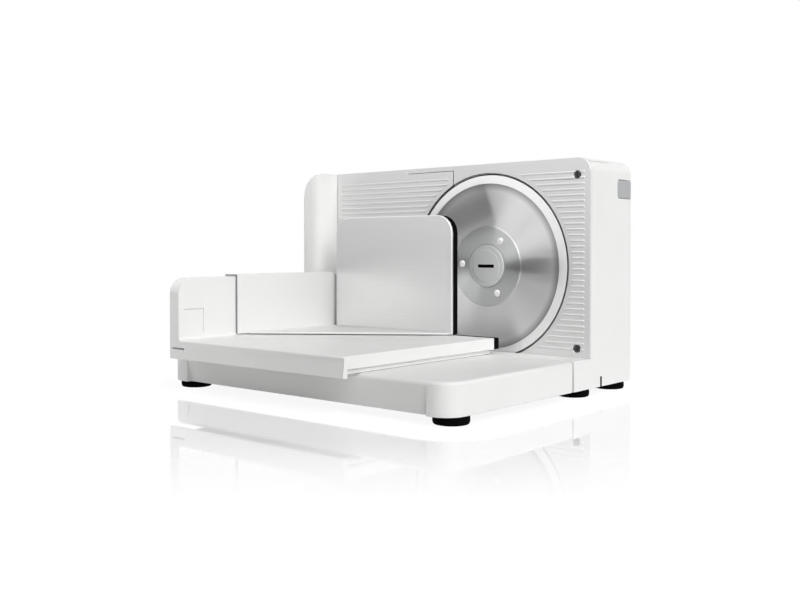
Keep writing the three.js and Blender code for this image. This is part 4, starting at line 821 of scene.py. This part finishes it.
# %% Blade
BEVEL_START = 77.2
DISC_STEPS = 160
DISC_PROFILE = [
    (8.8, 0), (8.8, 1.4), (20.0, 1.4), (20.5, 1.45), (21.0, 1.9), (21.5, 2.0), (36.6, 2.0), (37.1, 1.92),
    (37.7, 1.48), (38.2, 1.4), (76.7, 1.4), (76.9, 1.3), (77.1, 1.3), (77.3, 1.38), (84.6, 0.62),
    (84.95, 0.5), (85.0, 0.4), (84.9, 0.3), (77.0, 0), (8.8, 0)]

blade_rear = Vector((AXLE.x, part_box("blade")[1].y, AXLE.z))
disc = turned(DISC_PROFILE, blade_rear, FOOD_SIDE, DISC_STEPS)
paint(disc, 1, lambda spot, out: (spot - AXLE).xz.length > BEVEL_START * MM)
set_piece(disc, "blade_disc", [blade_steel, ground_steel], "blade", "blade_steel", "blade")

# %% [markdown]
# ### Blade lock and rivets
# The lock is a grey knob that a coin turns; the faces inside its slot are painted black, a painted shade for the
# dark that a narrow hole shows. Three rivets hold the blade to its gear; their heads are low domes.

# %% Blade lock and rivets
KNOB_ROUND = 0.3
SLOT_REACH = 9.6
SLOT_FROM = 0.25
SLOT_DEPTH = 1.25
SMALL_STEPS = 32
RIVET_PROFILE = [
    (0, 0), (1.6, 0), (1.6, 10.6), (3.15, 10.6), (3.3, 10.75), (3.25, 11.0), (2.7, 11.35), (1.6, 11.6),
    (0, 11.6)]

lock = solid_copy("blade_lock")
lock_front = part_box("blade_lock")[0].y
round_off(lock, sharp_edges(lock), KNOB_ROUND)
# Faces inside the slot get the black finish: painted shade.
for face in lock.faces:
    depth = face.calc_center_median().y - lock_front
    reach = max((vert.co - AXLE).xz.length for vert in face.verts)
    if SLOT_FROM * MM < depth < SLOT_DEPTH * MM and reach < SLOT_REACH * MM:
        face.material_index = 1
set_piece(lock, "lock_knob", [knob_abs, black_abs], "blade_lock", "grey_plastic", "blade_lock")
for number in (1, 2, 3):
    node = f"blade_rivet_{number}"
    _, high, centre = measured(node)
    rivet = turned(RIVET_PROFILE, (centre.x, high.y, centre.z), FOOD_SIDE, SMALL_STEPS)
    set_piece(rivet, f"rivet_{number}", [bright_alloy], "blade", "steel", node)

# %% [markdown]
# ### Screws
# Pan heads with a cross recess. A dark cross could be painted on, but the recess catches light on its
# walls. So the head is spun, its flat crown is cut by four planes into a cross, and the cross is pushed in
# by a millimetre.

# %% Screws
SCREW_PROFILE = [
    (0, 0), (1.0, 0.6), (1.5, 1.4), (1.5, 10), (3.0, 10), (3.1, 10.15), (3.1, 11.0), (2.8, 11.5), (2.2, 11.8),
    (0, 11.8)]
CROWN_FROM = 11.7
CROWN_RIM = 0.5
CROSS_HALF = 0.45
CROSS_REACH = 1.5
CROSS_DEPTH = 1.0


def crown_faces(mesh):
    """The flat faces on top of a screw's head."""
    return [face for face in mesh.faces
            if face.normal.z > FACING and face.calc_center_median().z > CROWN_FROM * MM]


def pan_head_screw(tip, towards):
    """A pan-head screw with a cross recess; the tip of its shank is given."""
    mesh = turned(SCREW_PROFILE, (0, 0, 0), UP, SMALL_STEPS)
    hubs = [v for v in mesh.verts if v.co.z > CROWN_FROM * MM and v.co.xy.length < SAME_POINT]
    bmesh.ops.dissolve_verts(mesh, verts=hubs)
    top = max(mesh.faces, key=lambda face: face.calc_center_median().z)
    bmesh.ops.inset_region(mesh, faces=[top], thickness=CROWN_RIM * MM, use_even_offset=True)
    for axis in ((1, 0, 0), (0, 1, 0)):
        for side in (-CROSS_HALF, CROSS_HALF):
            cap = crown_faces(mesh)
            parts = set(cap) | {e for f in cap for e in f.edges} | {v for f in cap for v in f.verts}
            bmesh.ops.bisect_plane(mesh, geom=list(parts), plane_co=Vector(axis) * side * MM, plane_no=axis)
    arms = []
    for face in crown_faces(mesh):
        spot = face.calc_center_median()
        if min(abs(spot.x), abs(spot.y)) < CROSS_HALF * MM and spot.xy.length < CROSS_REACH * MM:
            arms.append(face)
    sunk = bmesh.ops.extrude_face_region(mesh, geom=arms)["geom"]
    moved = [v for v in sunk if isinstance(v, bmesh.types.BMVert)]
    bmesh.ops.translate(mesh, verts=moved, vec=(0, 0, -CROSS_DEPTH * MM))
    bmesh.ops.delete(mesh, geom=arms, context="FACES_ONLY")
    bmesh.ops.transform(mesh, matrix=Matrix.Translation(tip) @ turn_from_up(towards), verts=mesh.verts)
    print("screw: cross of", len(arms), "faces sunk by", CROSS_DEPTH, "mm")
    return mesh


for end in ("upper", "lower"):
    _, high, centre = measured(f"panel_screw_{end}")
    set_piece(pan_head_screw((centre.x, high.y, centre.z), FOOD_SIDE), f"sheet_screw_{end}", [oxide_steel],
              "housing", "steel", f"panel_screw_{end}")
for side in ("left", "right"):
    _, high, centre = measured(f"cover_screw_{side}")
    set_piece(pan_head_screw((centre.x, centre.y, high.z), DOWN), f"floor_screw_{side}", [oxide_steel],
              "housing", "steel", f"cover_screw_{side}")

# %% [markdown]
# ### Feet
# Soft rubber pads with a hollow underneath, so that they grip like a shallow sucker, and a peg that snaps
# into the plastic. A rounded disc would do for the photograph's side; the whole outline is spun, because
# the hollow shows when the base is folded up.

# %% Feet
FOOT_PROFILE = [
    (0, 0.8), (8.5, 0.8), (9.0, 0.6), (9.4, 0), (12.2, 0), (12.9, 0.2), (13.5, 0.8), (13.9, 1.8), (14.0, 3.0),
    (13.9, 5.6), (13.6, 6.3), (13.2, 6.5), (3.0, 6.5), (3.0, 12.2), (2.6, 12.5), (0, 12.5)]
FOOT_BODIES = {"housing_foot_front_left": "housing", "housing_foot_front_right": "housing",
               "housing_foot_rear_left": "housing", "housing_foot_rear_right": "housing",
               "base_foot_left": "base", "base_foot_right": "base"}

for node, body in FOOT_BODIES.items():
    low, _, centre = measured(node)
    foot = turned(FOOT_PROFILE, (centre.x, centre.y, low.z), UP)
    set_piece(foot, f"pad_{node}", [foot_rubber], body, "rubber", node)

# %% [markdown]
# ### Dial, button and inlet
# The dial's rim is scalloped for the fingers; its face is dished, and a white bar in the dish points at
# the scale. The dish could be cut with a boolean, but an inset of the face makes the rim and the depth at
# once. The button is a satin grey key with soft edges. The grommet in the back is where the mains lead
# enters.

# %% Dial, button and inlet
DISH_RIM = 3
DISH_DEPTH = 0.8
SCALLOP_BEND = radians(60)
DIAL_ROUND = 0.4
POINTER = (1.4, 0.8, 9)
POINTER_REACH = 15
BUTTON_ROUND = 1.2
GROMMET_STEPS = 48
GROMMET_PROFILE = [
    (3.6, 0), (7.0, 0), (7.0, 3.3), (9.6, 3.3), (10.0, 3.7), (9.9, 4.6), (9.3, 5.2), (8.6, 5.3), (4.6, 5.3),
    (3.9, 5.0), (3.6, 4.4), (3.6, 0)]

dial = solid_copy("thickness_dial")
dial_face = max(dial.faces, key=lambda face: face.calc_center_median().y)
bmesh.ops.inset_region(dial, faces=[dial_face], thickness=DISH_RIM * MM, depth=-DISH_DEPTH * MM,
                       use_even_offset=True)
round_off(dial, sharp_edges(dial, SCALLOP_BEND), DIAL_ROUND)
pointer = Vector((dial_centre.x, dial_high.y - DISH_DEPTH * MM, dial_centre.z + POINTER_REACH * MM))
bar(dial, pointer, POINTER, 0, 1)
set_piece(dial, "dial_knob", [grey_abs, white_abs], "dial", "grey_plastic", "thickness_dial")
button = solid_copy("power_button")
round_off(button, sharp_edges(button), BUTTON_ROUND, 4)
set_piece(button, "on_button", [key_abs], "button", "grey_plastic", "power_button")
low, _, centre = measured("cord_inlet")
grommet = turned(GROMMET_PROFILE, (centre.x, low.y, centre.z), BACK, GROMMET_STEPS)
set_piece(grommet, "inlet_grommet", [foot_rubber], "housing", "rubber", "cord_inlet")

# %% [markdown]
# ### Backing, floor web, strip and bottom cover
# Plain mouldings that need only their edges, so one loop makes them all. The strip and the backing stand a
# finger's breadth in front of the blade and would fill much of it with black. The photograph's blade does
# not show them, so they are hidden from reflections here.

# %% Backing, floor web, strip and bottom cover
for node, name, body, finish, slot, size in (
        ("backing_plate", "press_backing", "holder", black_abs, "black_plastic", PLATE_ROUND),
        ("holder_web", "floor_web", "holder", white_abs, "white_plastic", SMALL_ROUND),
        ("carriage_strip", "edge_strip", "carriage", black_abs, "black_plastic", PLATE_ROUND),
        ("bottom_cover", "casing_floor", "housing", grey_abs, "grey_plastic", SMALL_ROUND)):
    copy = solid_copy(node)
    round_off(copy, sharp_edges(copy), size)
    made = set_piece(copy, name, [finish], body, slot, node)
    made.visible_glossy = node not in ("carriage_strip", "backing_plate")

# %% [markdown]
# ### The solids that stay
# Gears, motor, rods, pins and the chassis sit inside the machine. Rounding them too would cost faces that
# are hardly ever seen, so their solids are shown as they are, each with the finish of its material slot.

# %% Finish for the solids that stay
slot_finish = {
    "white_plastic": white_abs, "silver_sheet": silver_sheet, "blade_steel": blade_steel,
    "grey_plastic": grey_abs, "black_plastic": black_abs, "gear_plastic": gear_nylon,
    "rubber": foot_rubber, "steel": oxide_steel,
}
for subpart in frame["record"]["subparts"]:
    solid = frame["nodes"][subpart["node"]]
    solid.data.materials.clear()
    solid.data.materials.append(slot_finish[subpart["material_slot"]])
